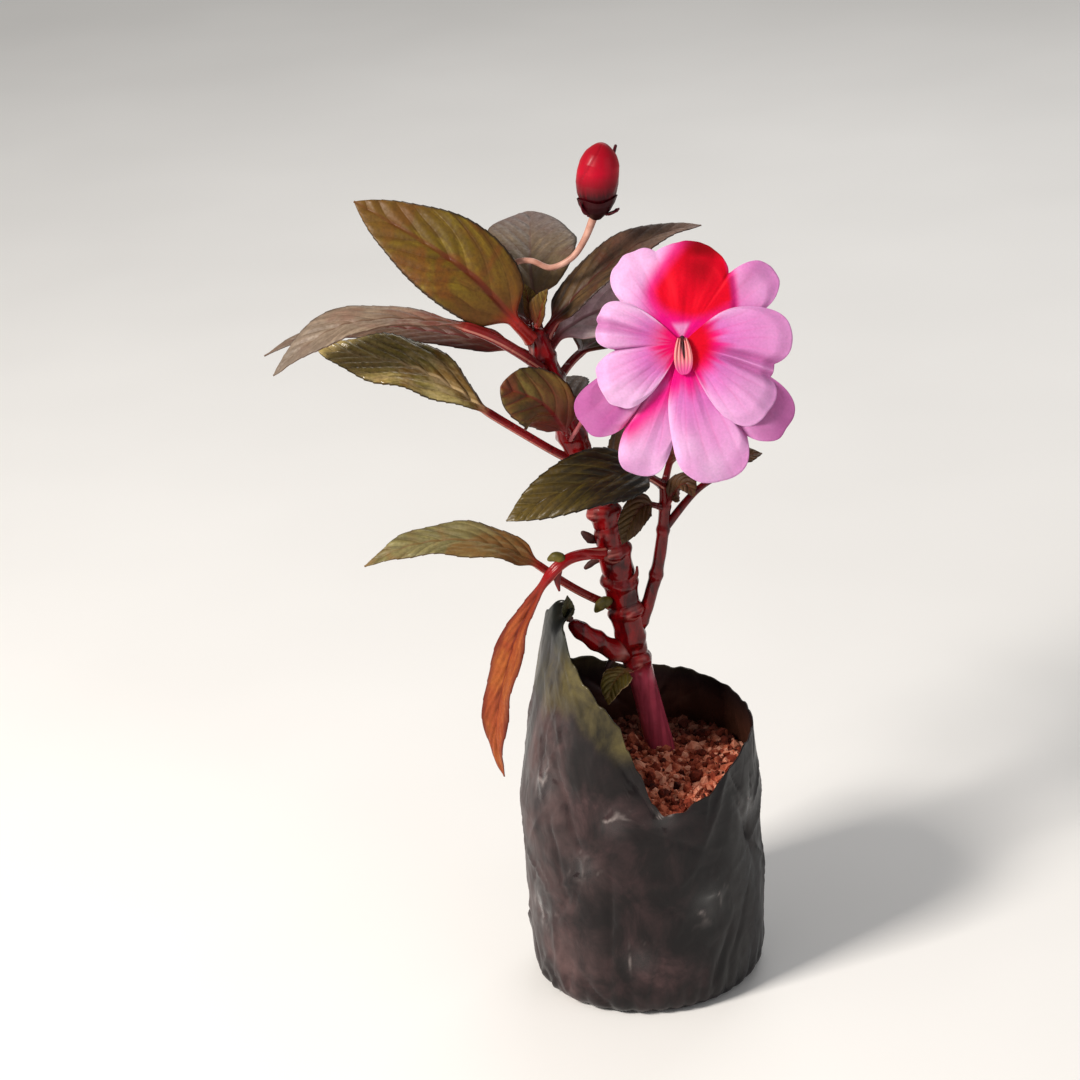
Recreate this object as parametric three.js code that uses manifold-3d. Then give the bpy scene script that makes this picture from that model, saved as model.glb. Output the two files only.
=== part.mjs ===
// A New Guinea busy lizzie with one open flower and one bud, growing in a black polythene nursery bag.
//
// Millimetres, +Z up. The origin is the centre of the bag's flat base. The flower faces -Y, the stem leans
// towards -X, and the bag's film stands highest on the -X side.
//
// Each piece is one closed solid. A piece that grows from another, or lies against it, keeps CLEARANCE to it.
import * as THREE from 'three';
import { mergeVertices } from 'three/addons/utils/BufferGeometryUtils.js';
import Module from 'manifold-3d';

const wasm = await Module();
wasm.setup();

// ---- Driving dimensions ----

const CLEARANCE = 0.3;

// The bag: a lay-flat tube of film, filled to SOIL_EDGE and standing open above that.
const BAG_RADIUS = 36;
const FILM = 0.8;
const BAG_SHOULDER = 60;            // up to this height the soil holds the film out
const BAG_STEPS_ROUND = 48;
const BAG_FOOT = [[31, 0], [33.4, 1.5], [35.2, 7], [36, 25]];     // radius and height, up to the full radius
const BAG_WALL_LEVELS = [0.3, 0.65, 1];     // shares of the way from the shoulder up to the edge
const LEAN_ALL_ROUND = 0.06;        // the empty film leans in by this much for each mm of height
const LEAN_EXTRA = 0.15;            // and by this much more where it stands highest
const LEAN_TOWARDS = -170;          // degrees, where that is
// Height of the film's edge round the bag: angle from +X in degrees, height.
const RIM = [
  [-180, 120], [-162, 125.5], [-140, 119.5], [-126, 112], [-116, 107], [-107, 101.5], [-98, 96], [-95, 89],
  [-90, 82], [-84, 71], [-79, 67.5], [-70, 67.5], [-57, 71], [-41, 76], [-20, 79], [20, 81], [60, 83],
  [90, 84], [120, 90], [145, 101], [165, 113], [180, 120],
];

const SOIL_GAP = 0.5;               // between the soil and the film at the side
const SOIL_EDGE = 66;
const SOIL_CROWN = 3;               // the soil is this much higher at the stem than at the edge
const SOIL_RINGS = [0.75, 0.4];     // shares of the radius at which the soil's top has rings

// Stems. Each path is a list of points on the axis; each radius list is spread evenly along it.
const STALK_SIDES = 6;
const STEM_SIDES = 8;
const MAIN_STEM = {
  path: [
    [7.6, 8.5, 54], [7.4, 8, 66], [5.8, 7.5, 75.5], [3.9, 7, 86], [2, 5, 97.4], [-0.2, 3, 111],
    [-1.7, 2, 124], [-3.2, 1, 136.8], [-5.3, 0, 149.5], [-8.7, 0, 160.4], [-12, 0, 170.3], [-15.7, 0, 182.2],
    [-18.8, 0, 194.9], [-21.7, 0, 207.5],
  ],
  radii: [4.2, 4.3, 4, 3.9, 4.7, 4.9, 4.4, 4, 3.9, 3.6, 2.8],
  steps: 42,
  sides: STEM_SIDES,
  nodes: [100, 117, 127, 137, 150, 166, 182],      // heights of the ring-like leaf nodes
};
const NODE_SWELL = 0.7;
const NODE_LENGTH = 1.8;
const SIDE_STEM = {
  path: [
    [1.5, 4, 108.7], [4.9, 3, 116], [7.3, 2.5, 123], [9, 2, 129], [10.8, 1, 138], [12.2, 1, 148],
    [12.5, 1, 158],
  ],
  radii: [2.2, 2, 1.9, 1.8, 1.8, 1.7, 1.3],
  steps: 12,
  sides: STEM_SIDES,
};
const SIDE_TWIG = {
  path: [[11.8, 1, 142.5], [18.5, 2, 150.3], [23.3, 4, 154], [29.1, 6, 156.5]],
  radii: [1.3, 1.2, 1, 0.8],
  steps: 5,
};
const LOWER_SHOOT = {
  path: [[0, 4, 101.5], [-6, 0, 106], [-12.5, -4, 112.5], [-17.5, -5, 117.5]],
  radii: [2.9, 3, 2.7, 1.8],
  steps: 6,
  sides: STEM_SIDES,
};

// Leaves. path runs along the midrib from the stem's axis to the tip, stalk is the share of its length before
// the blade starts, width is the blade's greatest half width, and face is the way its upper side looks. fold
// is the angle of each half of the blade above flat, in degrees. thick is the stalk's radius. taperBase and
// taperTip are the outline's exponents: below 1 blunt, above 1 drawn out to a point.
const LEAF = { fold: 8, thick: 1.25, taperBase: 0.7, taperTip: 0.95 };
const LEAVES = {
  leaf_top_left: {
    path: [[-20.4, 0, 201], [-26.6, -3.5, 210.2], [-37.5, -3, 224.3], [-51.9, 1, 235.1], [-70.4, 8, 245.8]],
    stalk: 0.17, width: 13, face: [-0.1, -0.75, 0.65], taperBase: 0.63,
  },
  leaf_top_back: {
    path: [[-20.3, 1, 201.5], [-21.3, 5, 212], [-22, 13.5, 220.3], [-22, 28, 224.6], [-21.6, 46.5, 228]],
    stalk: 0.22, width: 13.5, face: [0.08, -0.3, 0.95], taperTip: 0.7,
  },
  leaf_top_right: {
    path: [
      [-20.5, 1, 202], [-13.1, 4, 211], [-3.1, 6, 219.8], [7.9, 8, 226.8], [17.9, 10, 230.2], [27.5, 12, 231],
    ],
    stalk: 0.1, width: 9, face: [-0.35, -0.3, 0.9], fold: 14, taperBase: 0.6,
  },
  leaf_right: {
    path: [[-19.8, 0, 199], [-12, 6, 205], [0, 12, 208], [18, 18, 206.5], [39, 24, 202.5]],
    stalk: 0.08, width: 11, face: [0.05, -0.7, 0.7], taperBase: 0.8,
  },
  leaf_long_left: {
    path: [
      [-17.8, 0, 192], [-23.8, -5, 199.9], [-33.7, -9, 208.6], [-42.8, -10, 213.1], [-51.1, -10.5, 215.2],
      [-60.4, -11, 216.5], [-68.3, -12, 216.7], [-76.3, -12, 215.5], [-86, -13, 210.7], [-95.9, -14, 203],
    ],
    stalk: 0.34, width: 7.5, face: [0, -0.25, 0.97], fold: 10, taperBase: 1.4,
  },
  leaf_long_left_behind: {
    path: [
      [-18.6, 0, 194.9], [-25, 4, 198.4], [-32.6, 7, 200.9], [-42.1, 9, 203], [-53.7, 12, 204.7],
      [-67.1, 14, 206.1], [-80.7, 15, 205.9], [-92.4, 14.5, 203.2], [-101, 14, 199.4],
    ],
    stalk: 0.12, width: 6.5, face: [0, -0.35, 0.93], fold: 10, taperBase: 0.6, taperTip: 1.1,
  },
  leaf_mid_left: {
    path: [
      [-10.6, 0, 165.5], [-17, -3, 169.6], [-27.2, -5, 177.6], [-37.1, -6, 185.4], [-44.5, -6, 191.9],
      [-51.7, -5.5, 196.9], [-60, -5, 200.8], [-68.4, -4, 202.8], [-76.9, -2, 204.3], [-84.9, 0, 205.9],
    ],
    stalk: 0.37, width: 9.3, face: [0, -0.5, 0.87], fold: 10, taperBase: 1.1,
  },
  leaf_small_round: {
    path: [[-12.8, 0, 172], [-15.4, -8, 179.7], [-21.1, -14, 189.9], [-32, -18, 196.8]],
    stalk: 0.25, width: 9, face: [-0.3, -0.75, 0.6], fold: 6, taperTip: 0.57,
  },
  leaf_drooping: {
    path: [[12.4, 1, 156.5], [5.1, -10, 165], [-6.1, -18, 167.4], [-18.1, -22, 165], [-33.1, -24, 158.5]],
    stalk: 0.16, width: 9.5, face: [-0.2, -0.7, 0.7],
  },
  leaf_under: {
    path: [[12, 1, 149.5], [6.6, -6, 153.5], [2.9, -8.5, 150.4], [-0.7, -9, 142.9]],
    stalk: 0.25, width: 4.2, face: [-0.2, -0.85, 0.5], thick: 0.9,
  },
  leaf_narrow_low: {
    path: [
      [-1, 2, 117], [-10.1, 0, 122.5], [-18.1, -3, 129.2], [-28.1, -4, 137.9], [-34.8, -5, 142.7],
      [-43.3, -6, 145.6], [-54.2, -6, 146.3], [-65, -7, 144.9], [-75.9, -8, 140.5],
    ],
    stalk: 0.36, width: 6.2, face: [-0.1, -0.5, 0.85], fold: 10,
  },
  leaf_dying: {
    path: [
      [-3.2, 1, 136.4], [-13.1, -9, 140.2], [-18.7, -13, 139.5], [-23.9, -13.5, 134.1], [-28.8, -13, 125.7],
      [-33, -12, 117.7], [-36.3, -11, 107.6], [-39.2, -9.5, 97.3], [-41.2, -8, 86.7], [-41.5, -6.5, 77.2],
      [-40.3, -5, 68.2],
    ],
    stalk: 0.26, width: 5.5, face: [-0.6, -0.75, 0.2], fold: 20, thick: 1.7, taperBase: 1.1,
  },
  leaf_by_rim: {
    path: [[1.6, 5, 97.2], [-3.2, -4, 99.2], [-6.2, -9, 97.9], [-7.7, -12, 93.2]],
    stalk: 0.3, width: 4, face: [-0.2, -0.85, 0.5], thick: 0.9,
  },
  leaf_back_left: {
    path: [[-20.2, 0, 200], [-25, 13, 206], [-36, 29, 210], [-50, 48, 208]],
    stalk: 0.22, width: 12, face: [0, -0.1, 1], fold: 10,
  },
  leaf_back_right: {
    path: [[-17.4, 0, 190], [-9, 12, 195], [7, 28, 198], [25, 46, 192]],
    stalk: 0.22, width: 12, face: [0, 0, 1], fold: 10,
  },
  leaf_back_middle: {
    path: [[-13.1, 0, 174], [-15, 13, 177], [-19, 33, 178], [-23, 54, 169]],
    stalk: 0.26, width: 11, face: [0, 0.1, 1], fold: 10,
  },
  leaf_back_low: {
    path: [[-6.4, 0, 153], [-2, 12, 158], [12, 30, 163], [30, 44, 158]],
    stalk: 0.26, width: 10, face: [0, 0, 1], fold: 10,
  },
  side_leaf_back: {
    path: [[12.4, 1, 155.9], [16.1, 9, 164], [22.3, 20, 168.7], [33, 31, 166]],
    stalk: 0.15, width: 8, face: [-0.2, -0.1, 1], fold: 10, thick: 1,
  },
  side_leaf_right: {
    path: [[12.2, 1, 149.5], [15.5, -1.5, 155], [18.6, -4.5, 158.6], [21, -7, 155.5]],
    stalk: 0.2, width: 4, face: [0.2, -0.6, 0.75], fold: 12, thick: 0.9,
  },
  twig_leaf: {
    path: [[28.7, 6, 156.4], [31.8, 8, 158.5], [35.9, 11, 160], [42, 14, 159.4]],
    stalk: 0.12, width: 4, face: [0, -0.4, 0.9], fold: 12, thick: 0.7,
  },
  young_leaf_left: {
    path: [[-22.2, 1.3, 207.3], [-22.9, 2.6, 213], [-24, 2.6, 220]],
    stalk: 0.1, width: 3.4, face: [0.5, -0.7, 0.5], fold: 30, thick: 0.6,
  },
  young_leaf_right: {
    path: [[-21.4, -0.9, 207], [-19.4, -2, 213], [-17.2, -3.2, 219.8]],
    stalk: 0.08, width: 4.4, face: [-0.6, -0.6, 0.5], fold: 30, thick: 0.6,
  },
  shoot_leaf: {
    path: [[-17.2, -5, 117.3], [-17.9, -6.5, 121.5], [-17.6, -7.5, 127]],
    stalk: 0.15, width: 2.2, face: [0.3, -0.8, 0.5], fold: 26, thick: 0.9,
  },
};
const LEAF_THICKNESS = 0.6;
const MIDRIB_DEPTH = 0.5;           // how far the midrib stands out below the blade
const STALK_STEPS = 3;
const BLADE_STEPS = 10;
const BLADE_EASE = 0.12;            // share of the blade over which the round stalk turns flat

// The flower, in its own frame: +X to its right, +Y up in its face, +Z out of the face, throat at the origin.
const FLOWER_CENTRE = [19.6, -18, 206.3];
const FLOWER_TILT = 70.7;           // degrees from facing straight up
const PETAL_THICKNESS = 0.5;
const PETAL_START = 2.7;            // radius of the throat
const PETAL_SHORTEST = 4.2;         // radius a petal reaches at its two sides
const PETAL_REACH = 40;
const PETAL_RECURVE = 3;            // how far the petals bend back at PETAL_REACH
const PETAL_STEPS_OUT = 4;
const PETAL_STEP_ROUND = 6;         // degrees
const LAYER = 0.9;                  // the petals overlap in layers this far apart
const LOBE_SQUARENESS = 3;
// Each petal is a few lobes run together: direction in degrees, length, half its angle.
const PETALS = {
  petal_standard: { layer: 0, lobes: [[119, 29.2, 30], [82, 28.4, 42], [35, 32.6, 22]] },
  petal_left: { layer: 1, lobes: [[156, 24.8, 18], [170, 24.3, 17], [208, 26.2, 32]] },
  petal_right: { layer: 1, lobes: [[0, 30.6, 26], [-20, 26.5, 15], [-43, 31, 28]] },
  petal_lower_left: { layer: -1, lobes: [[247, 39.5, 18.5], [216, 36.5, 22]] },
  petal_lower_right: { layer: 0, lobes: [[-77.5, 40.3, 26.5], [-43, 38.2, 23]] },
};
const COLUMN = {
  path: [[0, 0.6, -1.6], [0, 0.9, 0.2], [0, 1.3, 1.5], [0, 2.6, 3]],
  radii: [1, 1, 1, 0.6],
  steps: 5,
};
const SPURRED_SEPAL = {
  path: [
    [0, 0, -2.8], [0, -0.6, -7], [-0.6, -2.6, -11], [-4.7, -5.6, -15.7], [-14.6, -10, -17.4],
    [-22.6, -13.1, -15.6], [-27.5, -17.8, -15.8], [-33.5, -26, -18.5],
  ],
  radii: [4.4, 3.9, 2, 1.1, 0.9, 0.8, 0.7, 0.5],
  steps: 16,
};
// The right side sepal's path; the left one mirrors it.
const SIDE_SEPAL_PATH = [[2, 3, -7], [3.8, 6.6, -6], [5.6, 10.8, -5.4]];
const SIDE_SEPAL = { stalk: 0.05, width: 2.6, face: [0, 0, 1], fold: 6, thick: 0.7 };
const FLOWER_STALK = {
  path: [
    [-12.8, 0.5, 172], [-8.5, 3, 176.5], [0, 4, 185], [9, 2, 195], [15.5, -4, 203], [19.6, -12.5, 205.5],
  ],
  radii: [1.3, 1.1, 1, 1.1, 1.3],
  steps: 12,
};

// The bud, with its stalk.
const BUD = {
  path: [[-2, 3, 239.5], [-1.8, 3, 243], [-1.2, 3, 249], [-0.2, 3, 254.5], [0.8, 3, 259.6]],
  radii: [2.6, 5, 6, 5, 1.6],
  steps: 8,
  sides: STEM_SIDES,
};
const BUD_SEPAL = {
  path: [[-2.2, 3, 237.6], [-2, 3, 240], [-1.8, 3, 243], [-1.6, 3, 245.5]],
  radii: [1.6, 4.1, 6, 6.6],
  steps: 4,
  sides: STEM_SIDES,
};
const BUD_SPUR = {
  path: [[-3, 4, 239.5], [-3, 8.5, 239], [-0.5, 11, 243], [2.4, 11, 250], [4.6, 9.6, 257]],
  radii: [1.2, 0.9, 0.7, 0.6, 0.45],
  steps: 6,
};
const BUD_SIDE_SEPAL = { stalk: 0.05, width: 2, fold: 6, thick: 0.7 };
const BUD_SIDE_SEPALS = {
  bud_sepal_left: { path: [[-5, 1.5, 238.9], [-7.4, -1, 242], [-7.5, -3, 246]], face: [-1, -0.3, 0.4] },
  bud_sepal_right: { path: [[0.5, 1.5, 238.9], [4.4, 0, 240.6], [6.8, -0.5, 243]], face: [0.7, -0.3, 0.7] },
};
const BUD_STALK = {
  path: [
    [-21, 0, 203.5], [-26.8, 2.5, 210], [-29.2, 5, 218.5], [-26.5, 5.5, 225], [-21.5, 4.5, 226],
    [-16, 3.3, 224], [-10, 3, 226.5], [-6, 3, 231.6], [-2.6, 3, 238.9],
  ],
  radii: [1.2, 1, 1, 1, 1, 1, 1, 1.1, 1.2],
  steps: 16,
};

const FINISHES = {
  film: { color: 0x3b3f46, roughness: 0.45 },
  soil: { color: 0x8a4526, roughness: 1 },
  stem: { color: 0x5a1520, roughness: 0.5 },
  sideStem: { color: 0x6b1a20, roughness: 0.5 },
  stalk: { color: 0xc98d78, roughness: 0.5 },
  bronzeLeaf: { color: 0x4a2f22, roughness: 0.5 },
  oliveLeaf: { color: 0x5d5a26, roughness: 0.5 },
  greenLeaf: { color: 0x3f4a1e, roughness: 0.5 },
  dyingLeaf: { color: 0xa8552a, roughness: 0.6 },
  petal: { color: 0xee9fe0, roughness: 0.6 },
  column: { color: 0xf4c8cc, roughness: 0.5 },
  sepal: { color: 0x9a4a50, roughness: 0.5 },
  bud: { color: 0xc4102e, roughness: 0.4 },
};
const LEAF_FINISHES = {
  leaf_top_left: FINISHES.oliveLeaf,
  leaf_narrow_low: FINISHES.oliveLeaf,
  leaf_by_rim: FINISHES.oliveLeaf,
  leaf_mid_left: FINISHES.greenLeaf,
  leaf_drooping: FINISHES.greenLeaf,
  leaf_dying: FINISHES.dyingLeaf,
};

// ---- Shapes ----

const radians = (degrees) => THREE.MathUtils.degToRad(degrees);

function vectors(points) {
  return points.map(([x, y, z]) => new THREE.Vector3(x, y, z));
}

function smoothCurve(points) {
  return new THREE.CatmullRomCurve3(vectors(points), false, 'catmullrom', 0.5);
}

// Six times the signed volume of a closed mesh: positive when its faces point out.
function signedVolume(positions, indices) {
  const [a, b, c] = [new THREE.Vector3(), new THREE.Vector3(), new THREE.Vector3()];
  let sum = 0;
  for (let i = 0; i < indices.length; i += 3) {
    a.fromArray(positions, 3 * indices[i]);
    b.fromArray(positions, 3 * indices[i + 1]);
    c.fromArray(positions, 3 * indices[i + 2]);
    sum += a.dot(b.cross(c));
  }
  return sum;
}

function closedGeometry(points, indices) {
  const positions = points.flatMap((p) => [p.x, p.y, p.z]);
  if (signedVolume(positions, indices) < 0) {
    indices.reverse();
  }
  const geometry = new THREE.BufferGeometry();
  geometry.setAttribute('position', new THREE.Float32BufferAttribute(positions, 3));
  geometry.setIndex(indices);
  return geometry;
}

function centreOf(points) {
  const centre = new THREE.Vector3();
  points.forEach((p) => centre.add(p));
  return centre.divideScalar(points.length);
}

// A closed skin over a row of rings with equally many points, with a fan over each end.
function loft(rings) {
  const sides = rings[0].length;
  const points = rings.flat();
  const indices = [];
  for (let k = 0; k + 1 < rings.length; k += 1) {
    for (let i = 0; i < sides; i += 1) {
      const j = (i + 1) % sides;
      const [a, b, c, d] = [k * sides + i, k * sides + j, (k + 1) * sides + i, (k + 1) * sides + j];
      indices.push(a, b, d, a, d, c);
    }
  }
  const last = (rings.length - 1) * sides;
  const start = points.push(centreOf(rings[0])) - 1;
  const end = points.push(centreOf(rings.at(-1))) - 1;
  for (let i = 0; i < sides; i += 1) {
    const j = (i + 1) % sides;
    indices.push(start, j, i);
    indices.push(end, last + i, last + j);
  }
  return closedGeometry(points, indices);
}

// The value of an evenly spread list at share u of its length.
function spread(values, u) {
  const at = THREE.MathUtils.clamp(u, 0, 1) * (values.length - 1);
  const k = Math.min(Math.floor(at), values.length - 2);
  return THREE.MathUtils.lerp(values[k], values[k + 1], at - k);
}

// A round stem along a curve. extra makes it wider and longer: the room that its neighbours are cut with.
function stemGeometry({ path, radii, steps, sides = STALK_SIDES, nodes = [] }, extra = 0) {
  const curve = smoothCurve(path);
  const frames = curve.computeFrenetFrames(steps, false);
  const rings = [];
  for (let k = 0; k <= steps; k += 1) {
    const centre = curve.getPointAt(k / steps);
    const swell = nodes.map((z) => NODE_SWELL * Math.exp(-(((centre.z - z) / NODE_LENGTH) ** 2)));
    const radius = spread(radii, k / steps) + Math.max(0, ...swell) + extra;
    const beyond = (k === steps) - (k === 0);
    centre.addScaledVector(frames.tangents[k], beyond * extra);
    const ring = [];
    for (let i = 0; i < sides; i += 1) {
      const angle = (2 * Math.PI * i) / sides;
      const out = frames.normals[k].clone().multiplyScalar(Math.cos(angle) * radius);
      out.addScaledVector(frames.binormals[k], Math.sin(angle) * radius);
      ring.push(out.add(centre));
    }
    rings.push(ring);
  }
  return loft(rings);
}

// Half width of a blade at share v of its length, as a share of the greatest.
function outline(v, taperBase, taperTip) {
  const shape = (t) => t ** taperBase * (1 - t) ** taperTip;
  return shape(v) / shape(taperBase / (taperBase + taperTip));
}

// Six points across a leaf: round on the stalk, and a shallow V with a midrib below on the blade.
function leafSection(halfWidth, fold, stalkRadius, blade) {
  const half = LEAF_THICKNESS / 2;
  const [across, up] = [Math.cos(fold) * halfWidth, Math.sin(fold) * halfWidth];
  const flat = [
    [across, up + half], [0, half], [-across, up + half],
    [-across, up - half], [0, -half - MIDRIB_DEPTH], [across, up - half],
  ];
  return flat.map(([s, n], i) => {
    const angle = (Math.PI * (2 * i + 1)) / flat.length;
    const round = [Math.cos(angle) * stalkRadius, Math.sin(angle) * stalkRadius];
    return [THREE.MathUtils.lerp(round[0], s, blade), THREE.MathUtils.lerp(round[1], n, blade)];
  });
}

function leafGeometry(shape) {
  const { path, stalk, width, face, fold, thick, taperBase, taperTip } = { ...LEAF, ...shape };
  const curve = smoothCurve(path);
  const up = new THREE.Vector3(...face);
  const shares = [];
  for (let k = 0; k < STALK_STEPS; k += 1) {
    shares.push((stalk * k) / STALK_STEPS);
  }
  for (let k = 0; k <= BLADE_STEPS; k += 1) {
    shares.push(stalk + (1 - stalk) * (k / BLADE_STEPS));
  }
  const rings = shares.map((u) => {
    const v = Math.max(0, (u - stalk) / (1 - stalk));
    const centre = curve.getPointAt(u);
    const along = curve.getTangentAt(u);
    const side = along.clone().cross(up).normalize();
    const normal = side.clone().cross(along);
    const halfWidth = Math.max(width * outline(v, taperBase, taperTip), LEAF_THICKNESS);
    const blade = THREE.MathUtils.smoothstep(v, 0, BLADE_EASE);
    const section = leafSection(halfWidth, radians(fold), thick, blade);
    return section.map(([s, n]) => centre.clone().addScaledVector(side, s).addScaledVector(normal, n));
  });
  return loft(rings);
}

// How far a petal reaches in one direction: the longest of its lobes there.
function petalReach(lobes, degrees) {
  const reaches = lobes.map(([direction, length, halfAngle]) => {
    const off = Math.min(1, Math.abs(degrees - direction) / halfAngle);
    return length * Math.sqrt(1 - off ** LOBE_SQUARENESS);
  });
  return Math.max(PETAL_SHORTEST, ...reaches);
}

function petalGeometry({ layer, lobes }) {
  const from = Math.min(...lobes.map(([direction, , halfAngle]) => direction - halfAngle));
  const to = Math.max(...lobes.map(([direction, , halfAngle]) => direction + halfAngle));
  const round = Math.round((to - from) / PETAL_STEP_ROUND);
  const surface = (below) => {
    const points = [];
    for (let i = 0; i <= round; i += 1) {
      const degrees = THREE.MathUtils.lerp(from, to, i / round);
      const reach = petalReach(lobes, degrees);
      for (let k = 0; k <= PETAL_STEPS_OUT; k += 1) {
        const r = THREE.MathUtils.lerp(PETAL_START, reach, k / PETAL_STEPS_OUT);
        const z = layer * LAYER - PETAL_RECURVE * (r / PETAL_REACH) ** 2 - below;
        points.push(new THREE.Vector3(Math.cos(radians(degrees)) * r, Math.sin(radians(degrees)) * r, z));
      }
    }
    return points;
  };
  return slab(surface(0), surface(PETAL_THICKNESS), round + 1, PETAL_STEPS_OUT + 1);
}

// A closed plate between two grids of rows by columns points.
function slab(top, bottom, rows, columns) {
  const indices = [];
  const low = top.length;
  const at = (row, column) => row * columns + column;
  for (let i = 0; i + 1 < rows; i += 1) {
    for (let k = 0; k + 1 < columns; k += 1) {
      const [a, b, c, d] = [at(i, k), at(i, k + 1), at(i + 1, k), at(i + 1, k + 1)];
      indices.push(a, c, b, b, c, d);
      indices.push(low + a, low + b, low + c, low + b, low + d, low + c);
    }
  }
  const border = [];
  for (let k = 0; k + 1 < columns; k += 1) {
    border.push(at(0, k));
  }
  for (let i = 0; i + 1 < rows; i += 1) {
    border.push(at(i, columns - 1));
  }
  for (let k = columns - 1; k > 0; k -= 1) {
    border.push(at(rows - 1, k));
  }
  for (let i = rows - 1; i > 0; i -= 1) {
    border.push(at(i, 0));
  }
  border.forEach((a, n) => {
    const b = border[(n + 1) % border.length];
    indices.push(a, b, low + a, b, low + b, low + a);
  });
  return closedGeometry([...top, ...bottom], indices);
}

// Height of the film's edge at an angle, eased between the listed heights.
function rimHeight(degrees) {
  const next = Math.max(1, RIM.findIndex(([angle]) => angle >= degrees));
  const [a, b] = [RIM[next - 1], RIM[next]];
  return THREE.MathUtils.lerp(a[1], b[1], THREE.MathUtils.smoothstep(degrees, a[0], b[0]));
}

// Outside radius of the bag at an angle and height.
function bagRadius(degrees, z) {
  const next = BAG_FOOT.findIndex(([, height]) => height > z);
  if (next > 0) {
    const [low, high] = [BAG_FOOT[next - 1], BAG_FOOT[next]];
    return THREE.MathUtils.mapLinear(z, low[1], high[1], low[0], high[0]);
  }
  const towards = Math.max(0, Math.cos(radians(degrees - LEAN_TOWARDS)));
  const lean = LEAN_ALL_ROUND + LEAN_EXTRA * towards ** 2;
  return BAG_RADIUS - lean * Math.max(0, z - BAG_SHOULDER);
}

// A ring inset from the bag's outer surface. heightAt gives the ring's height at each angle.
function bagRing(heightAt, inset, scale = 1) {
  const ring = [];
  for (let i = 0; i < BAG_STEPS_ROUND; i += 1) {
    const degrees = -180 + (360 * i) / BAG_STEPS_ROUND;
    const z = heightAt(degrees);
    const r = (bagRadius(degrees, z) - inset) * scale;
    ring.push(new THREE.Vector3(Math.cos(radians(degrees)) * r, Math.sin(radians(degrees)) * r, z));
  }
  return ring;
}

function bagGeometry() {
  const levels = [...BAG_FOOT.map(([, z]) => () => z), () => BAG_SHOULDER];
  for (const share of BAG_WALL_LEVELS) {
    levels.push((degrees) => THREE.MathUtils.lerp(BAG_SHOULDER, rimHeight(degrees), share));
  }
  const outside = levels.map((heightAt) => bagRing(heightAt, 0));
  const inside = levels.map((heightAt) => bagRing((degrees) => Math.max(heightAt(degrees), FILM), FILM));
  return loft([...outside, ...inside.reverse()]);
}

function soilGeometry() {
  const underside = FILM + CLEARANCE;
  const inset = FILM + SOIL_GAP;
  const levels = [underside, ...BAG_FOOT.slice(1).map(([, z]) => z + CLEARANCE), BAG_SHOULDER, SOIL_EDGE];
  const rings = levels.map((z) => bagRing(() => z, inset));
  for (const share of SOIL_RINGS) {
    const z = SOIL_EDGE + SOIL_CROWN * (1 - share ** 2);
    rings.push(bagRing(() => SOIL_EDGE, inset, share).map((p) => p.setZ(z)));
  }
  return loft(rings);
}

// ---- Cutting and joining ----

function toSolid(geometry) {
  const bare = geometry.clone();
  bare.deleteAttribute('normal');
  bare.deleteAttribute('uv');
  const merged = mergeVertices(bare, 1e-4);
  const vertProperties = new Float32Array(merged.attributes.position.array);
  const triVerts = new Uint32Array(merged.index.array);
  return new wasm.Manifold(new wasm.Mesh({ numProp: 3, vertProperties, triVerts }));
}

function toGeometry(solid) {
  const { vertProperties, triVerts } = solid.getMesh();
  const geometry = new THREE.BufferGeometry();
  geometry.setAttribute('position', new THREE.BufferAttribute(new Float32Array(vertProperties), 3));
  geometry.setIndex(new THREE.BufferAttribute(new Uint32Array(triVerts), 1));
  return geometry;
}

// What is left of a piece outside its neighbours' room. A cut can leave slivers, so the largest body is kept.
function cut(geometry, ...cutters) {
  let solid = toSolid(geometry);
  for (const cutter of cutters) {
    solid = solid.subtract(toSolid(cutter));
  }
  const bodies = solid.decompose().sort((a, b) => b.volume() - a.volume());
  return toGeometry(bodies[0]);
}

function join(first, second) {
  return toGeometry(toSolid(first).add(toSolid(second)));
}

// ---- The object ----

const plant = new THREE.Group();

function addPiece(parent, name, geometry, finish) {
  const mesh = new THREE.Mesh(geometry, new THREE.MeshStandardMaterial({ ...finish, metalness: 0 }));
  mesh.name = name;
  parent.add(mesh);
}

const sideStem = (extra) => join(stemGeometry(SIDE_STEM, extra), stemGeometry(SIDE_TWIG, extra));
const mainStemRoom = stemGeometry(MAIN_STEM, CLEARANCE);
const sideStemRoom = sideStem(CLEARANCE);
const shootRoom = stemGeometry(LOWER_SHOOT, CLEARANCE);

addPiece(plant, 'nursery_bag', bagGeometry(), FINISHES.film);
addPiece(plant, 'soil', cut(soilGeometry(), mainStemRoom), FINISHES.soil);
addPiece(plant, 'main_stem', stemGeometry(MAIN_STEM), FINISHES.stem);
addPiece(plant, 'side_stem', cut(sideStem(0), mainStemRoom), FINISHES.sideStem);
addPiece(plant, 'lower_shoot', cut(stemGeometry(LOWER_SHOOT), mainStemRoom), FINISHES.stem);

for (const [name, leaf] of Object.entries(LEAVES)) {
  const rooted = cut(leafGeometry(leaf), mainStemRoom, sideStemRoom, shootRoom);
  addPiece(plant, name, rooted, LEAF_FINISHES[name] ?? FINISHES.bronzeLeaf);
}

const flower = new THREE.Group();
flower.position.set(...FLOWER_CENTRE);
flower.rotation.x = radians(FLOWER_TILT);
flower.updateMatrixWorld();
plant.add(flower);

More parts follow.
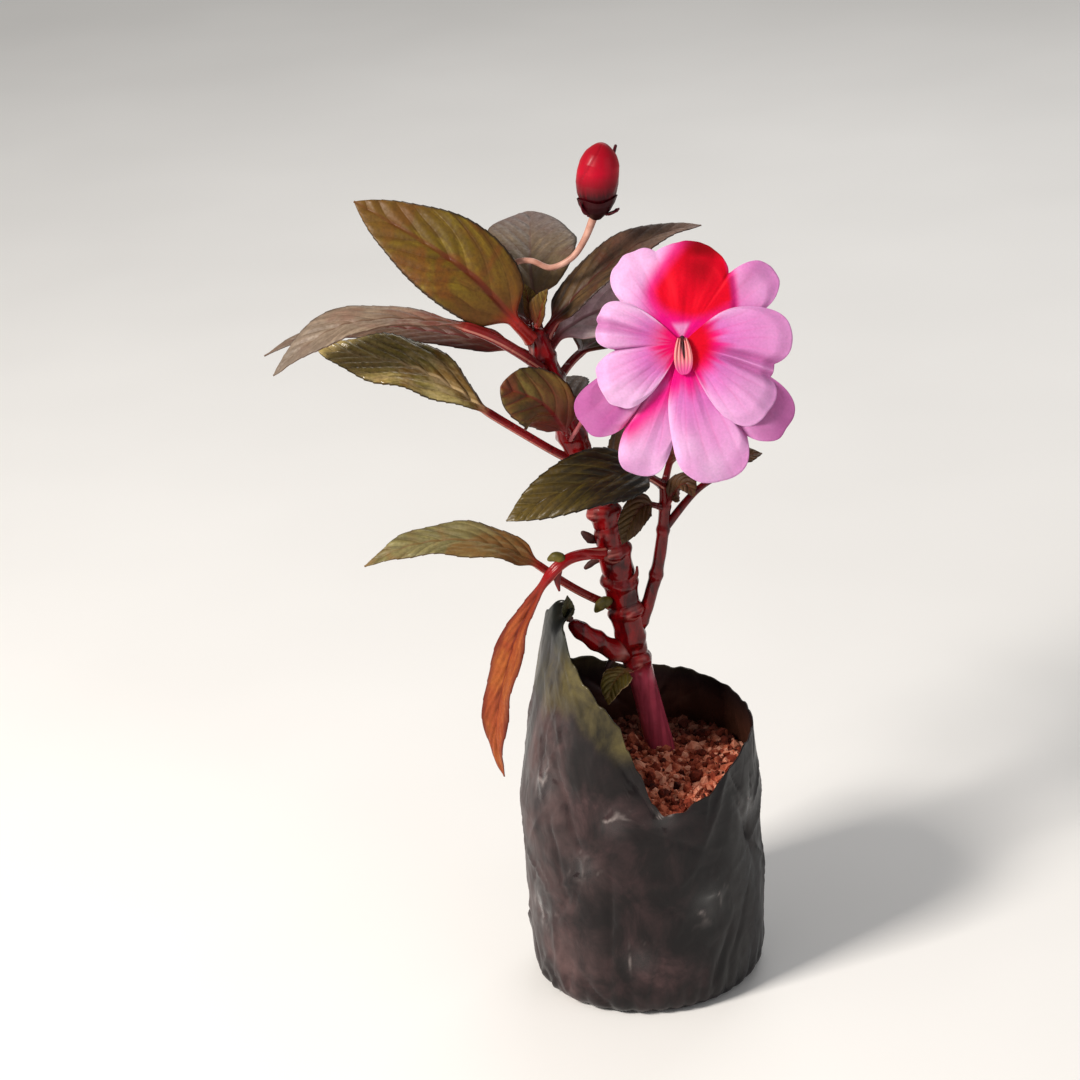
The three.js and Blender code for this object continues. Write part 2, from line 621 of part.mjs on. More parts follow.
for (const [name, petal] of Object.entries(PETALS)) {
  addPiece(flower, name, petalGeometry(petal), FINISHES.petal);
}
addPiece(flower, 'column', stemGeometry(COLUMN), FINISHES.column);
addPiece(flower, 'spurred_sepal', stemGeometry(SPURRED_SEPAL), FINISHES.sepal);
const spurredSepalRoom = stemGeometry(SPURRED_SEPAL, CLEARANCE);
for (const [name, side] of [['sepal_left', -1], ['sepal_right', 1]]) {
  const path = SIDE_SEPAL_PATH.map(([x, y, z]) => [side * x, y, z]);
  addPiece(flower, name, cut(leafGeometry({ ...SIDE_SEPAL, path }), spurredSepalRoom), FINISHES.sepal);
}
const placedSepalRoom = spurredSepalRoom.clone().applyMatrix4(flower.matrixWorld);
const rootedStalk = cut(stemGeometry(FLOWER_STALK), mainStemRoom, placedSepalRoom);
addPiece(plant, 'flower_stalk', rootedStalk, FINISHES.stalk);

const budSepal = (extra) => join(stemGeometry(BUD_SEPAL, extra), stemGeometry(BUD_SPUR, extra));
const budRoom = stemGeometry(BUD, CLEARANCE);
const budSepalRoom = budSepal(CLEARANCE);
addPiece(plant, 'bud_petals', stemGeometry(BUD), FINISHES.bud);
addPiece(plant, 'bud_spurred_sepal', cut(budSepal(0), budRoom), FINISHES.stem);
for (const [name, sepal] of Object.entries(BUD_SIDE_SEPALS)) {
  const whole = leafGeometry({ ...BUD_SIDE_SEPAL, ...sepal });
  addPiece(plant, name, cut(whole, budRoom, budSepalRoom), FINISHES.stem);
}
addPiece(plant, 'bud_stalk', cut(stemGeometry(BUD_STALK), mainStemRoom, budSepalRoom), FINISHES.stalk);

export default plant;
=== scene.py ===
# %% [markdown]
# # A busy lizzie in its nursery bag
#
# The object is a young New Guinea busy lizzie, sold in a black polythene nursery bag of red-brown soil. It has
# one open flower, one bud, a knobbly maroon stem and bronze-green leaves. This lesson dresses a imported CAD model
# of it: the CAD gives each piece's place and size, and here each piece gets a finer skin and its finish.
#
# The parts of a plant are sheets and rods: leaves and petals are thin sheets, stems and stalks are rods, and the
# bag is a sheet too. Sculpting by hand could make them, but then nobody could change one number and make them
# again. So each shape is a function of two numbers, worked out with numpy on a whole grid at once.

# %% Load the frame
import math

import bpy
import numpy as np
from mathutils import Matrix


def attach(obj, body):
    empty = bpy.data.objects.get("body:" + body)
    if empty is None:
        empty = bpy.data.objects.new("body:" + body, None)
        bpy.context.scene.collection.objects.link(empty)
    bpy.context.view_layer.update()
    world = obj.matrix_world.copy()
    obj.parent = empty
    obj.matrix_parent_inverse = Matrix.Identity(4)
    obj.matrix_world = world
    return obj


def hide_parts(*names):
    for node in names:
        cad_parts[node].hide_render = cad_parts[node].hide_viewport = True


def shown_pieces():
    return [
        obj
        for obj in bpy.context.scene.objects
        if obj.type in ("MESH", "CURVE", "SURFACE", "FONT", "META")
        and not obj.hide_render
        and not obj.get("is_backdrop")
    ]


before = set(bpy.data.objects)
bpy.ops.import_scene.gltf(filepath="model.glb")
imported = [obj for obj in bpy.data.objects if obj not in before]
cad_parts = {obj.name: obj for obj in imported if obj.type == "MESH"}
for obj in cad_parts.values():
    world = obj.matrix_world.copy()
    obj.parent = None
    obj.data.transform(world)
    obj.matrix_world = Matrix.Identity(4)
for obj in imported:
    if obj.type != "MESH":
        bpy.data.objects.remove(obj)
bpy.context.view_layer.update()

# %% [markdown]
# ## Lines through space
#
# Every stem, stalk, midrib and spur follows a line that was drawn as a few points. A smooth line through
# them can be a Bezier curve with handles, or a Catmull-Rom spline, which needs no handles: at each point it runs
# parallel to the chord between the two neighbours. The CAD uses the second, so this does too, and the fine skins
# lie where the CAD's solids are.

# %% Smooth lines
MM = 0.001
LINE_STEPS = 60


def unit(vectors):
    """Each vector divided by its length."""
    return vectors / np.linalg.norm(vectors, axis=-1, keepdims=True)


def smoothstep(x, low, high):
    """0 below low, 1 above high, and 3t^2 - 2t^3 between them, where t is the share of the way."""
    t = np.clip((x - low) / (high - low), 0, 1)
    return t * t * (3 - 2 * t)


def follow(points, shares):
    """Places and directions on the smooth line through the points, at shares of its length.

    Between two neighbours b and c the line is a cubic in t. It leaves b along half of (c - a) and reaches c along
    half of (d - b), where a and d are the next points outside. Past its ends the line goes straight on. The lengths
    of many short steps are added up, and each share is looked up in that sum.
    """
    p = np.asarray(points, float)
    p = np.vstack([2 * p[0] - p[1], p, 2 * p[-1] - p[-2]])
    t = np.linspace(0, 1, LINE_STEPS, endpoint=False)[None, :, None]
    a, b, c, d = (p[k:len(p) - 3 + k, None, :] for k in range(4))
    m0, m1 = (c - a) / 2, (d - b) / 2
    cubic = b + m0 * t + (3 * (c - b) - 2 * m0 - m1) * t**2 + (2 * (b - c) + m0 + m1) * t**3
    line = np.vstack([cubic.reshape(-1, 3), p[-2]])
    length = np.concatenate([[0], np.cumsum(np.linalg.norm(np.diff(line, axis=0), axis=1))])
    at = np.asarray(shares) * length[-1]
    place = np.stack([np.interp(at, length, line[:, k]) for k in range(3)], -1)
    slope = np.gradient(line, length, axis=0)
    return place, unit(np.stack([np.interp(at, length, slope[:, k]) for k in range(3)], -1)), length[-1]


print("a bent line of three points is", round(follow([[0, 0, 0], [10, 0, 0], [10, 10, 0]], [0])[2], 2), "mm long")

# %% [markdown]
# ## Unevenness
#
# Nothing that grew or was filled by hand is even. Random numbers alone give static, so they are put on the
# corners of a lattice and blended smoothly between them. The numbers come from the corner's own position, so the
# result is the same each time.

# %% Smooth unevenness


def uneven(points, size, seed):
    """A smooth random value from -1 to 1 at each point.

    Space is cut into cubes of the given size. Each corner's whole-number position is scrambled into one random
    value, and inside a cube the eight values are blended by 3t^2 - 2t^3 along each axis.
    """
    p = np.asarray(points, float) / size
    cell = np.floor(p).astype(np.int64)
    t = p - cell
    t = t * t * (3 - 2 * t)
    total = np.zeros(p.shape[:-1])
    for corner in np.ndindex(2, 2, 2):
        c = cell + corner
        mixed = (c[..., 0] * 73856093) ^ (c[..., 1] * 19349663) ^ (c[..., 2] * 83492791) ^ (seed * 7919)
        mixed = (mixed ^ (mixed >> 13)) * 1274126177 & 0x7FFFFFFF
        weight = np.prod(np.where(corner, t, 1 - t), axis=-1)
        total += weight * (((mixed >> 9) & 0xFFFF) / 32767.5 - 1)
    return total


def flat(*columns):
    """Puts two or three arrays side by side as points, each stretched to fit the others, with 0 for a missing third."""
    return np.stack(np.broadcast_arrays(*[*columns, 0.0][:3]), -1)


print("unevenness at three points:", uneven(flat(np.array([0.2, 1.7, 3.1]), 0), 1, 5).round(2))

# %% [markdown]
# ## Skins
#
# A rod, a leaf with its stalk and the bag are all one thing to the mesh: a row of rings, each with equally many
# points, joined by quads and closed by a fan at either end. Blender could bevel a curve into a tube, but a ring of
# our own may change its outline on the way, as a leaf does where the round stalk turns into a flat blade.

# %% Rings into a closed skin


def skin_faces(rings):
    """Quads between neighbouring rings, and triangles from a middle point over the first and the last ring."""
    count, sides = rings.shape[:2]
    index = np.arange(count * sides).reshape(count, sides)
    ahead = np.roll(index, -1, axis=1)
    quads = np.stack([index[:-1], ahead[:-1], ahead[1:], index[1:]], -1).reshape(-1, 4)
    start, end = count * sides, count * sides + 1
    fan_start = np.stack([np.full(sides, start), ahead[0], index[0]], -1)
    fan_end = np.stack([np.full(sides, end), index[-1], ahead[-1]], -1)
    points = np.vstack([rings.reshape(-1, 3), rings[0].mean(0), rings[-1].mean(0)])
    return points, quads, np.vstack([fan_start, fan_end])


def signed_volume(points, quads, triangles):
    """A sixth of the sum of a . (b x c) over all triangles: positive when a closed skin faces outwards."""
    parts = np.vstack([quads[:, [0, 1, 2]], quads[:, [0, 2, 3]], triangles])
    a, b, c = (points[parts[:, k]] for k in range(3))
    return float(np.einsum("ij,ij->i", a, np.cross(b, c)).sum() / 6)


def make_piece(name, points, quads, triangles, marks=None, smooth=True):
    """A mesh object from points in mm. marks are values kept at each point, which the material reads by name."""
    if signed_volume(points, quads, triangles) < 0:
        quads, triangles = quads[:, ::-1], triangles[:, ::-1]
    mesh = bpy.data.meshes.new(name)
    mesh.from_pydata((points * MM).tolist(), [], quads.tolist() + triangles.tolist())
    mesh.polygons.foreach_set("use_smooth", np.full(len(mesh.polygons), smooth))
    for mark, values in (marks or {}).items():
        values = np.asarray(values, np.float32)
        several = values.ndim == 2
        layer = mesh.attributes.new(mark, "FLOAT_VECTOR" if several else "FLOAT", "POINT")
        layer.data.foreach_set("vector" if several else "value", values.ravel())
    mesh.update()
    piece = bpy.data.objects.new(name, mesh)
    bpy.context.scene.collection.objects.link(piece)
    return piece


def make_skin(name, rings, marks=None):
    """A closed piece from rings. Each mark has one value for each ring point; the two middle points get averages."""
    points, quads, triangles = skin_faces(rings)
    full = {}
    for mark, values in (marks or {}).items():
        values = np.asarray(values, float)
        ends = np.stack([values[0].mean(0), values[-1].mean(0)])
        full[mark] = np.concatenate([values.reshape((-1,) + values.shape[2:]), ends])
    return make_piece(name, points, quads, triangles, full)


def settle(piece, material, slot, *nodes):
    """Gives a piece its finish and the body it rides on, and hides the CAD nodes it stands for. slot is not used."""
    piece.data.materials.append(material)
    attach(piece, "root")
    if nodes:
        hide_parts(*nodes)


print("three rings of four points give", len(skin_faces(np.zeros((3, 4, 3)))[1]), "quads and two fans")

# %% [markdown]
# ## Finishes
#
# A finish is a small network of shader nodes. Colours are picked as sRGB hex values, because that is how a screen
# shows them, and turned into linear light, because that is what the renderer adds up. One function adds a node.

# %% Colours and nodes


def linear(hex_colour):
    """An sRGB hex colour as linear red, green, blue and alpha: ((c + 0.055) / 1.055)^2.4, or c / 12.92 when dark."""
    c = np.array([int(hex_colour[k:k + 2], 16) for k in (1, 3, 5)]) / 255
    light = np.where(c <= 0.04045, c / 12.92, ((c + 0.055) / 1.055) ** 2.4)
    return (*light.tolist(), 1.0)


def deeper(hex_colour, share):
    """A colour with its light multiplied by the share."""
    return (*(share * c for c in linear(hex_colour)[:3]), 1.0)


def add(tree, kind, inputs=(), stops=(), **settings):
    """Adds a shader node. inputs fill its live sockets, in order or by name: each is a value, a socket, or a node,
    which stands for its first live output. stops are a colour ramp's places and hex colours."""
    node = tree.nodes.new("ShaderNode" + kind)
    for name, value in settings.items():
        setattr(node, name, value)
    for n, (place, colour) in enumerate(stops):
        element = node.color_ramp.elements[n] if n < 2 else node.color_ramp.elements.new(place)
        element.position, element.color = place, linear(colour)
    live = [socket for socket in node.inputs if socket.enabled]
    for key, value in inputs.items() if isinstance(inputs, dict) else enumerate(inputs):
        socket = live[key] if isinstance(key, int) else next(s for s in live if s.name == key)
        if isinstance(value, bpy.types.Node):
            value = next(s for s in value.outputs if s.enabled)
        if isinstance(value, bpy.types.NodeSocket):
            tree.links.new(value, socket)
        else:
            socket.default_value = linear(value) if isinstance(value, str) else value
    return node


def start_material(name):
    """An empty node material: returns the material and its tree."""
    material = bpy.data.materials.new(name)
    material.use_nodes = True
    material.node_tree.nodes.clear()
    return material, material.node_tree


def per_metre(size_mm):
    """How often a feature of this size repeats in a metre, which is what a texture's Scale asks for."""
    return 1000 / size_mm


EASED = dict(interpolation_type="SMOOTHSTEP")       # a Map Range that eases in and out
TIMES = dict(operation="MULTIPLY")                  # a Math node that gives the product
print("mid grey #808080 is", round(linear("#808080")[0], 3), "in linear light")

# %% [markdown]
# ## Where the camera and the light stand
#
# The camera looks down at 22.5 degrees from a metre away. A long lens takes the plant alone, and the camera leans
# by about four degrees, which is how the upright lines of this plant lean in a wide view where it stands at the
# left. The light is that of a small studio: a soft lamp high at the left, a wide weak one at the right, one
# behind, and a pale room.

# %% Camera
CAMERA_PLACE = np.array([0.0, -875.446, 505.0])
CAMERA_TURNED, CAMERA_DOWN, CAMERA_LEAN = 1.609, 22.510, -4.181     # degrees
LENS, SENSOR = 108.0, 36.0
NEAREST, FURTHEST = 0.05, 20.0      # metres: what lies outside these is not seen


def camera_axes(turned, down, lean):
    """Right, up and forward of a camera that is turned left from +Y, tipped down and leaned about its own axis.

    forward is (-sin t cos d, cos t cos d, -sin d), level is its cross product with Z, and right is cos l * level +
    sin l * (level x forward).
    """
    turned, down, lean = math.radians(turned), math.radians(down), math.radians(lean)
    forward = np.array([-math.sin(turned) * math.cos(down), math.cos(turned) * math.cos(down), -math.sin(down)])
    level = unit(np.cross(forward, [0, 0, 1]))
    right = math.cos(lean) * level + math.sin(lean) * np.cross(level, forward)
    return right, np.cross(right, forward), forward


camera_data = bpy.data.cameras.new("camera")
camera_data.lens = LENS
camera_data.sensor_width = SENSOR
camera_data.clip_start, camera_data.clip_end = NEAREST, FURTHEST
camera = bpy.data.objects.new("camera", camera_data)
bpy.context.scene.collection.objects.link(camera)
right, up, forward = camera_axes(CAMERA_TURNED, CAMERA_DOWN, CAMERA_LEAN)
pose = np.eye(4)
pose[:3, 0], pose[:3, 1], pose[:3, 2], pose[:3, 3] = right, up, -forward, CAMERA_PLACE * MM
camera.matrix_world = Matrix(pose.tolist())
bpy.context.scene.camera = camera
print("the camera looks along", forward.round(3))

# %% Light and floor
bpy.context.scene.view_settings.view_transform = "Standard"
world = bpy.data.worlds.new("pale room")
world.use_nodes = True
world.node_tree.nodes["Background"].inputs["Color"].default_value = linear("#f4f3f1")
world.node_tree.nodes["Background"].inputs["Strength"].default_value = 0.34
bpy.context.scene.world = world


def soft_lamp(name, place, size, watts, aim=(-20, 0, 140), colour="#ffffff"):
    """A square lamp at a place in mm, turned to face the aim."""
    data = bpy.data.lights.new(name, "AREA")
    data.size, data.energy, data.color = size * MM, watts, linear(colour)[:3]
    lamp = bpy.data.objects.new(name, data)
    bpy.context.scene.collection.objects.link(lamp)
    back = unit(np.array(place, float) - np.array(aim, float))
    right = unit(np.cross([0, 0, 1], back))
    pose = np.eye(4)
    pose[:3, 0], pose[:3, 1], pose[:3, 2], pose[:3, 3] = right, np.cross(back, right), back, np.array(place) * MM
    lamp.matrix_world = Matrix(pose.tolist())


soft_lamp("key lamp", place=(-820, -560, 900), size=300, watts=19, colour="#fff8f0")
soft_lamp("fill lamp", place=(900, -700, 520), size=900, watts=1.6, colour="#f6f6ff")
soft_lamp("back lamp", place=(250, 900, 900), size=700, watts=3)

FLOOR_HALF, FLOOR_DROP = 3.0, 0.2 * MM      # a hair below the bag's foot, so that the two don't flicker
floor_mesh = bpy.data.meshes.new("floor")
corners = [(-1, -1), (1, -1), (1, 1), (-1, 1)]
floor_mesh.from_pydata([(FLOOR_HALF * x, FLOOR_HALF * y, -FLOOR_DROP) for x, y in corners], [], [(0, 1, 2, 3)])
floor = bpy.data.objects.new("floor", floor_mesh)
bpy.context.scene.collection.objects.link(floor)
floor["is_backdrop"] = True
floor_material, tree = start_material("pale matt painted board")
grain = add(tree, "TexNoise", {"Vector": add(tree, "TexCoord").outputs["Object"], "Scale": per_metre(160)})
tint = add(tree, "ValToRGB", [grain], stops=[(0.3, "#f1f0ee"), (0.7, "#f6f5f3")])
paint = add(tree, "BsdfPrincipled", {"Base Color": tint, "Roughness": 0.9})
add(tree, "OutputMaterial", [paint])
floor.data.materials.append(floor_material)
print("a floor", 2 * FLOOR_HALF, "m wide under three lamps")

# %% [markdown]
# ## Stems
#
# The main stem is a fleshy rod with ring-like nodes, where older leaves have fallen and left pale scars. Below
# the lowest node it is smooth. A tube of even rings carried along the line, with the radius changed at each node,
# is close to how it grows. The rings keep one fixed direction as their guide, which is enough for a rod that
# never points that way.

# %% Rods along lines
MAIN_STEM = dict(
    path=[
        [7.6, 8.5, 54], [7.4, 8, 66], [5.8, 7.5, 75.5], [3.9, 7, 86], [2, 5, 97.4], [-0.2, 3, 111], [-1.7, 2, 124],
        [-3.2, 1, 136.8], [-5.3, 0, 149.5], [-8.7, 0, 160.4], [-12, 0, 170.3], [-15.7, 0, 182.2], [-18.8, 0, 194.9],
        [-21.7, 0, 207.5],
    ],
    radii=[4.2, 4.3, 4, 3.9, 4.7, 4.9, 4.4, 4, 3.9, 3.6, 2.8],
)
SIDE_STEM = dict(
    path=[[1.5, 4, 108.7], [4.9, 3, 116], [7.3, 2.5, 123], [9, 2, 129], [10.8, 1, 138], [12.2, 1, 148], [12.5, 1, 158]],
    radii=[2.2, 2, 1.9, 1.8, 1.8, 1.7, 1.3],
)
SIDE_TWIG = dict(path=[[11.8, 1, 142.5], [18.5, 2, 150.3], [23.3, 4, 154], [29.1, 6, 156.5]], radii=[1.3, 1.2, 1, 0.8])
LOWER_SHOOT = dict(path=[[0, 4, 101.5], [-6, 0, 106], [-12.5, -4, 112.5], [-17.5, -5, 117.5]], radii=[2.9, 3, 2.7, 1.8])


def rod_rings(path, radii, steps, sides, guide=(0, 1, 0), wider=None, shares=None):
    """Rings round a smooth line. Ring point = centre + radius * (cos a * side + sin a * up).

    side is the line's direction crossed with the guide, and up is side crossed with the direction. The radius is read
    off an evenly spread list, and wider(centre, share, angle) adds to it. Each end is rounded over by one radius.
    Without a list of shares the rings stand at even distances.
    """
    u = np.linspace(0, 1, steps) if shares is None else shares
    centre, along, length = follow(path, u)
    side = unit(np.cross(along, guide))
    up = np.cross(side, along)
    angle = np.linspace(0, 2 * np.pi, sides, endpoint=False)
    radius = np.interp(u, np.linspace(0, 1, len(radii)), radii)
    from_end = np.minimum(u, 1 - u) * length
    radius = radius * np.sqrt(np.clip(1 - (1 - np.clip(from_end / radius, 0, 1)) ** 2, 0.02, 1))
    radius = radius[:, None] + np.zeros(sides)
    if wider is not None:
        radius = radius + wider(centre, u, angle)
    out = np.cos(angle)[:, None] * side[:, None] + np.sin(angle)[:, None] * up[:, None]
    return centre[:, None] + radius[..., None] * out


print("the main stem is", round(follow(MAIN_STEM["path"], [0])[2], 1), "mm long")

# %% [markdown]
# ### Nodes and scars
#
# Each node is a swollen ring, and the bigger ones have a fine groove over them and a leaf scar, a pale crescent
# where a leaf stood, which bulges a little. Fine lengthwise ridges run between the nodes. The scars are kept as a
# mark at each point, so that the finish can colour them exactly where the shape has them. The same mark holds a
# painted highlight: a pale line high on the stem's left side.

# %% Main stem
NODE_HEIGHTS = np.array([100, 108.5, 117, 127, 137, 144, 150, 158, 166, 174, 182, 191, 199])
NODE_SWELL = np.array([0.7, 0.45, 0.8, 0.8, 0.8, 0.5, 0.8, 0.5, 0.7, 0.4, 0.7, 0.4, 0.4])
SCAR_ANGLES = np.radians([-70, 60, -130, 20, -95, 170, -40, 100, -120, 30, -80, 140, -60])
BIG_NODE = 0.45             # nodes that swell more than this have a groove and a pale scar
PAINTED_HIGHLIGHT_ANGLE = -2.6          # radians: the side of the stem that the painted highlight line runs along


def stem_nodes(centre, share, angle):
    """Node rings: swell * exp(-(dz/1.6)^2), a groove 2.2 mm above, scars as bumps, and ridges along the rod."""
    z = centre[:, 2:]
    total = np.zeros((len(share), len(angle)))
    for height, swell, towards in zip(NODE_HEIGHTS, NODE_SWELL, SCAR_ANGLES):
        around = np.angle(np.exp(1j * (angle - towards)))
        tilt = z - height - 0.9 * np.cos(around)
        total += swell * np.exp(-((tilt / 1.6) ** 2))
        total -= 0.35 * np.exp(-(((tilt - 2.2) / 0.5) ** 2)) * (swell > BIG_NODE)
        total += 0.75 * np.exp(-((around / 0.55) ** 2) - (((z - height) / 1.3) ** 2))
    ridge = 0.17 * np.cos(5 * angle + 0.06 * z) * smoothstep(z, 92, 104)
    where = flat(8 * np.cos(angle), 8 * np.sin(angle), z)
    lumps = 0.36 * uneven(where, 5, 3) + 0.12 * uneven(where, 2, 4)
    return total + ridge + lumps * smoothstep(z, 90, 102)


def scar_and_highlight_mark(rings, centre_z, angle):
    """1 on each scar's pale crescent, less on the node rings, and on a painted highlight high on the left side."""
    total = np.zeros((len(centre_z), len(angle)))
    z = centre_z[:, None]
    for height, swell, towards in zip(NODE_HEIGHTS, NODE_SWELL, SCAR_ANGLES):
        around = np.angle(np.exp(1j * (angle - towards)))
        edge = ((around / 0.62) ** 2 + ((z - height) / 1.45) ** 2) ** 0.5
        total = np.maximum(total, 0.6 * np.exp(-(((edge - 0.9) / 0.2) ** 2)) * (swell > BIG_NODE))
        ring = z - height - 0.9 * np.cos(around) - 1.3
        total = np.maximum(total, 0.25 * np.exp(-((ring / 0.4) ** 2)) * (swell > BIG_NODE))
    # the painted highlight: a pale broken line high on the stem's left side, towards the key lamp
    axis = rings.mean(1)[:, None]
    side = np.arctan2(rings[..., 1] - axis[..., 1], rings[..., 0] - axis[..., 0])
    side = np.angle(np.exp(1j * (side - PAINTED_HIGHLIGHT_ANGLE)))
    total = total * smoothstep(uneven(rings, 3.2, 6), -0.5, 0.45)
    broken = smoothstep(uneven(rings, 6, 16), -0.35, 0.1)
    return np.maximum(total, 0.9 * np.exp(-((side / 0.17) ** 2)) * smoothstep(z, 146, 156) * broken)


STEM_RINGS, STEM_SIDES = 420, 48
angle = np.linspace(0, 2 * np.pi, STEM_SIDES, endpoint=False)
stem_rings = rod_rings(**MAIN_STEM, steps=STEM_RINGS, sides=STEM_SIDES, wider=stem_nodes)
stem_z = follow(MAIN_STEM["path"], np.linspace(0, 1, STEM_RINGS))[0][:, 2]
main_stem = make_skin("main_stem_skin", stem_rings, {"scar_and_highlight": scar_and_highlight_mark(stem_rings, stem_z, angle)})
print("main stem:", len(main_stem.data.polygons), "faces")

# %% [markdown]
# ### The finish of the stems
#
# The stem is a fleshy green stem stained by anthocyanin, the red of beetroot and red cabbage, under a waxy skin.
# It was grown, so its surface is smooth but never flat. The eye gets deep maroon with a soft gloss, streaks that
# run lengthwise, pale pinkish scars and, low down, a lighter, cooler purple. A pale line high on the left side is
# a painted highlight.

# %% Stem finish


def stem_material(name, dark, light, low, scar_and_highlight, low_height=96.0, streak_mm=3.2):
    """A waxy stained stem: streaks stretched along Z, a low colour below a height, and scars and a painted
    highlight line where the mark says so.
    """
    material, tree = start_material(name)
    place = add(tree, "TexCoord").outputs["Object"]
    stretched = add(tree, "Mapping", {"Vector": place, "Scale": (1, 1, 0.35)})
    streak = add(tree, "TexNoise", {"Vector": stretched, "Scale": per_metre(streak_mm), "Detail": 3.0,
                                    "Distortion": 0.4})
    body = add(tree, "ValToRGB", [streak], stops=[(0.36, dark), (0.62, light)])
    drawn = add(tree, "Mapping", {"Vector": place, "Scale": (1, 1, 0.06)})
    grain = add(tree, "TexNoise", {"Vector": drawn, "Scale": per_metre(1.6), "Detail": 2.0})
    low = add(tree, "Mix", [add(tree, "MapRange", [grain, 0.35, 0.65]), deeper(low, 0.55), low], data_type="RGBA")
    height = add(tree, "SeparateXYZ", [place]).outputs["Z"]
    lower = add(tree, "MapRange", [height, (low_height + 5) * MM, (low_height - 3) * MM], **EASED)
    blotch = add(tree, "TexNoise", {"Vector": place, "Scale": per_metre(6), "Detail": 2.0})
    depth = add(tree, "MapRange", [blotch, 0.45, 0.75, 0.0, 0.25])
    mark = add(tree, "Attribute", attribute_name="scar_and_highlight").outputs["Fac"]
    colour = body
    for amount, over in ((lower, low), (depth, dark), (mark, scar_and_highlight)):
        colour = add(tree, "Mix", [amount, colour, over], data_type="RGBA")
    fine = add(tree, "TexNoise", {"Vector": stretched, "Scale": per_metre(0.5), "Detail": 2.0})
    bump = add(tree, "Bump", {"Strength": 0.25, "Distance": 0.15 * MM, "Height": fine})
    rough = add(tree, "MapRange", [blotch, 0.3, 0.7, 0.18, 0.3])
    skin = add(tree, "BsdfPrincipled", {
        "Base Color": colour, "Roughness": rough, "IOR": 1.42, "Specular IOR Level": 0.15, "Coat Weight": 0.4,
        "Coat Roughness": 0.1, "Normal": bump,
    })
    add(tree, "OutputMaterial", [skin])
    return material


maroon_stem = stem_material("waxy maroon stem", dark="#3c0306", light="#80050a", low="#c04a60", scar_and_highlight="#b87068")
side_stem_finish = stem_material("waxy maroon side stem", dark="#3c0406", light="#7e090d", low="#6e2028",
                                 scar_and_highlight="#b87a70", low_height=60)
settle(main_stem, maroon_stem, "stem", "main_stem")
print(maroon_stem.name + ":", len(maroon_stem.node_tree.nodes), "nodes")

# %% Side stem, twig and lower shoot


def small_nodes(heights, swell):
    """A function that widens a rod at a few heights by swell * exp(-(dz/1.2)^2), and roughens it a little."""
    def wider(centre, share, angle):
        z = centre[:, 2, None, None] - np.array(heights)
        rough = uneven(flat(6 * np.cos(angle), centre[:, 2:]), 3, 8)
        return swell * np.exp(-((z / 1.2) ** 2)).sum(-1) + 0.08 * rough
    return wider


side_rings = rod_rings(**SIDE_STEM, steps=160, sides=28, wider=small_nodes([113, 128, 142.5, 150], 0.35))
side_stem = make_skin("side_stem_skin", side_rings, {"scar_and_highlight": np.zeros(side_rings.shape[:2])})
settle(side_stem, side_stem_finish, "side_stem", "side_stem")
twig_rings = rod_rings(**SIDE_TWIG, steps=60, sides=20)
twig = make_skin("side_twig_skin", twig_rings, {"scar_and_highlight": np.zeros(twig_rings.shape[:2])})
settle(twig, side_stem_finish, "side_stem")
shoot_rings = rod_rings(**LOWER_SHOOT, steps=90, sides=32, wider=small_nodes([105, 110, 114.5], 0.5))
shoot_scar = np.exp(-(((shoot_rings.mean(1)[:, 2] - 104.5) / 0.8) ** 2))[:, None] * np.ones(32)
lower_shoot = make_skin("lower_shoot_skin", shoot_rings, {"scar_and_highlight": 0.6 * shoot_scar})
settle(lower_shoot, maroon_stem, "stem", "lower_shoot")
print("side stem:", len(side_stem.data.polygons), "faces; lower shoot:", len(lower_shoot.data.polygons), "faces")

# %% [markdown]
# ### Stubs and resting buds
#
# Stalks of old flowers dry and drop, and leave dark stubs. In the corner over a leaf stalk sits a resting bud, a
# few millimetres long. They are small, but without them the stem looks like a turned part. Each is a short rod
# that starts inside the stem and is thickest near its end.

# %% Stubs and buds


def fleshy_material(name, one, other, rough=0.4):
    """A waxy stalk, bud or sepal: two colours in soft clouds, with a fine bump."""
    material, tree = start_material(name)
    place = add(tree, "TexCoord").outputs["Object"]
    cloud = add(tree, "TexNoise", {"Vector": place, "Scale": per_metre(4), "Detail": 3.0})
    colour = add(tree, "ValToRGB", [cloud], stops=[(0.35, one), (0.65, other)])
    fine = add(tree, "TexNoise", {"Vector": place, "Scale": per_metre(0.5), "Detail": 2.0})
    bump = add(tree, "Bump", {"Strength": 0.2, "Distance": 0.1 * MM, "Height": fine})
    skin = add(tree, "BsdfPrincipled", {"Base Color": colour, "Roughness": rough, "IOR": 1.42,
                                        "Specular IOR Level": 0.35, "Normal": bump})
    add(tree, "OutputMaterial", [skin])
    return material


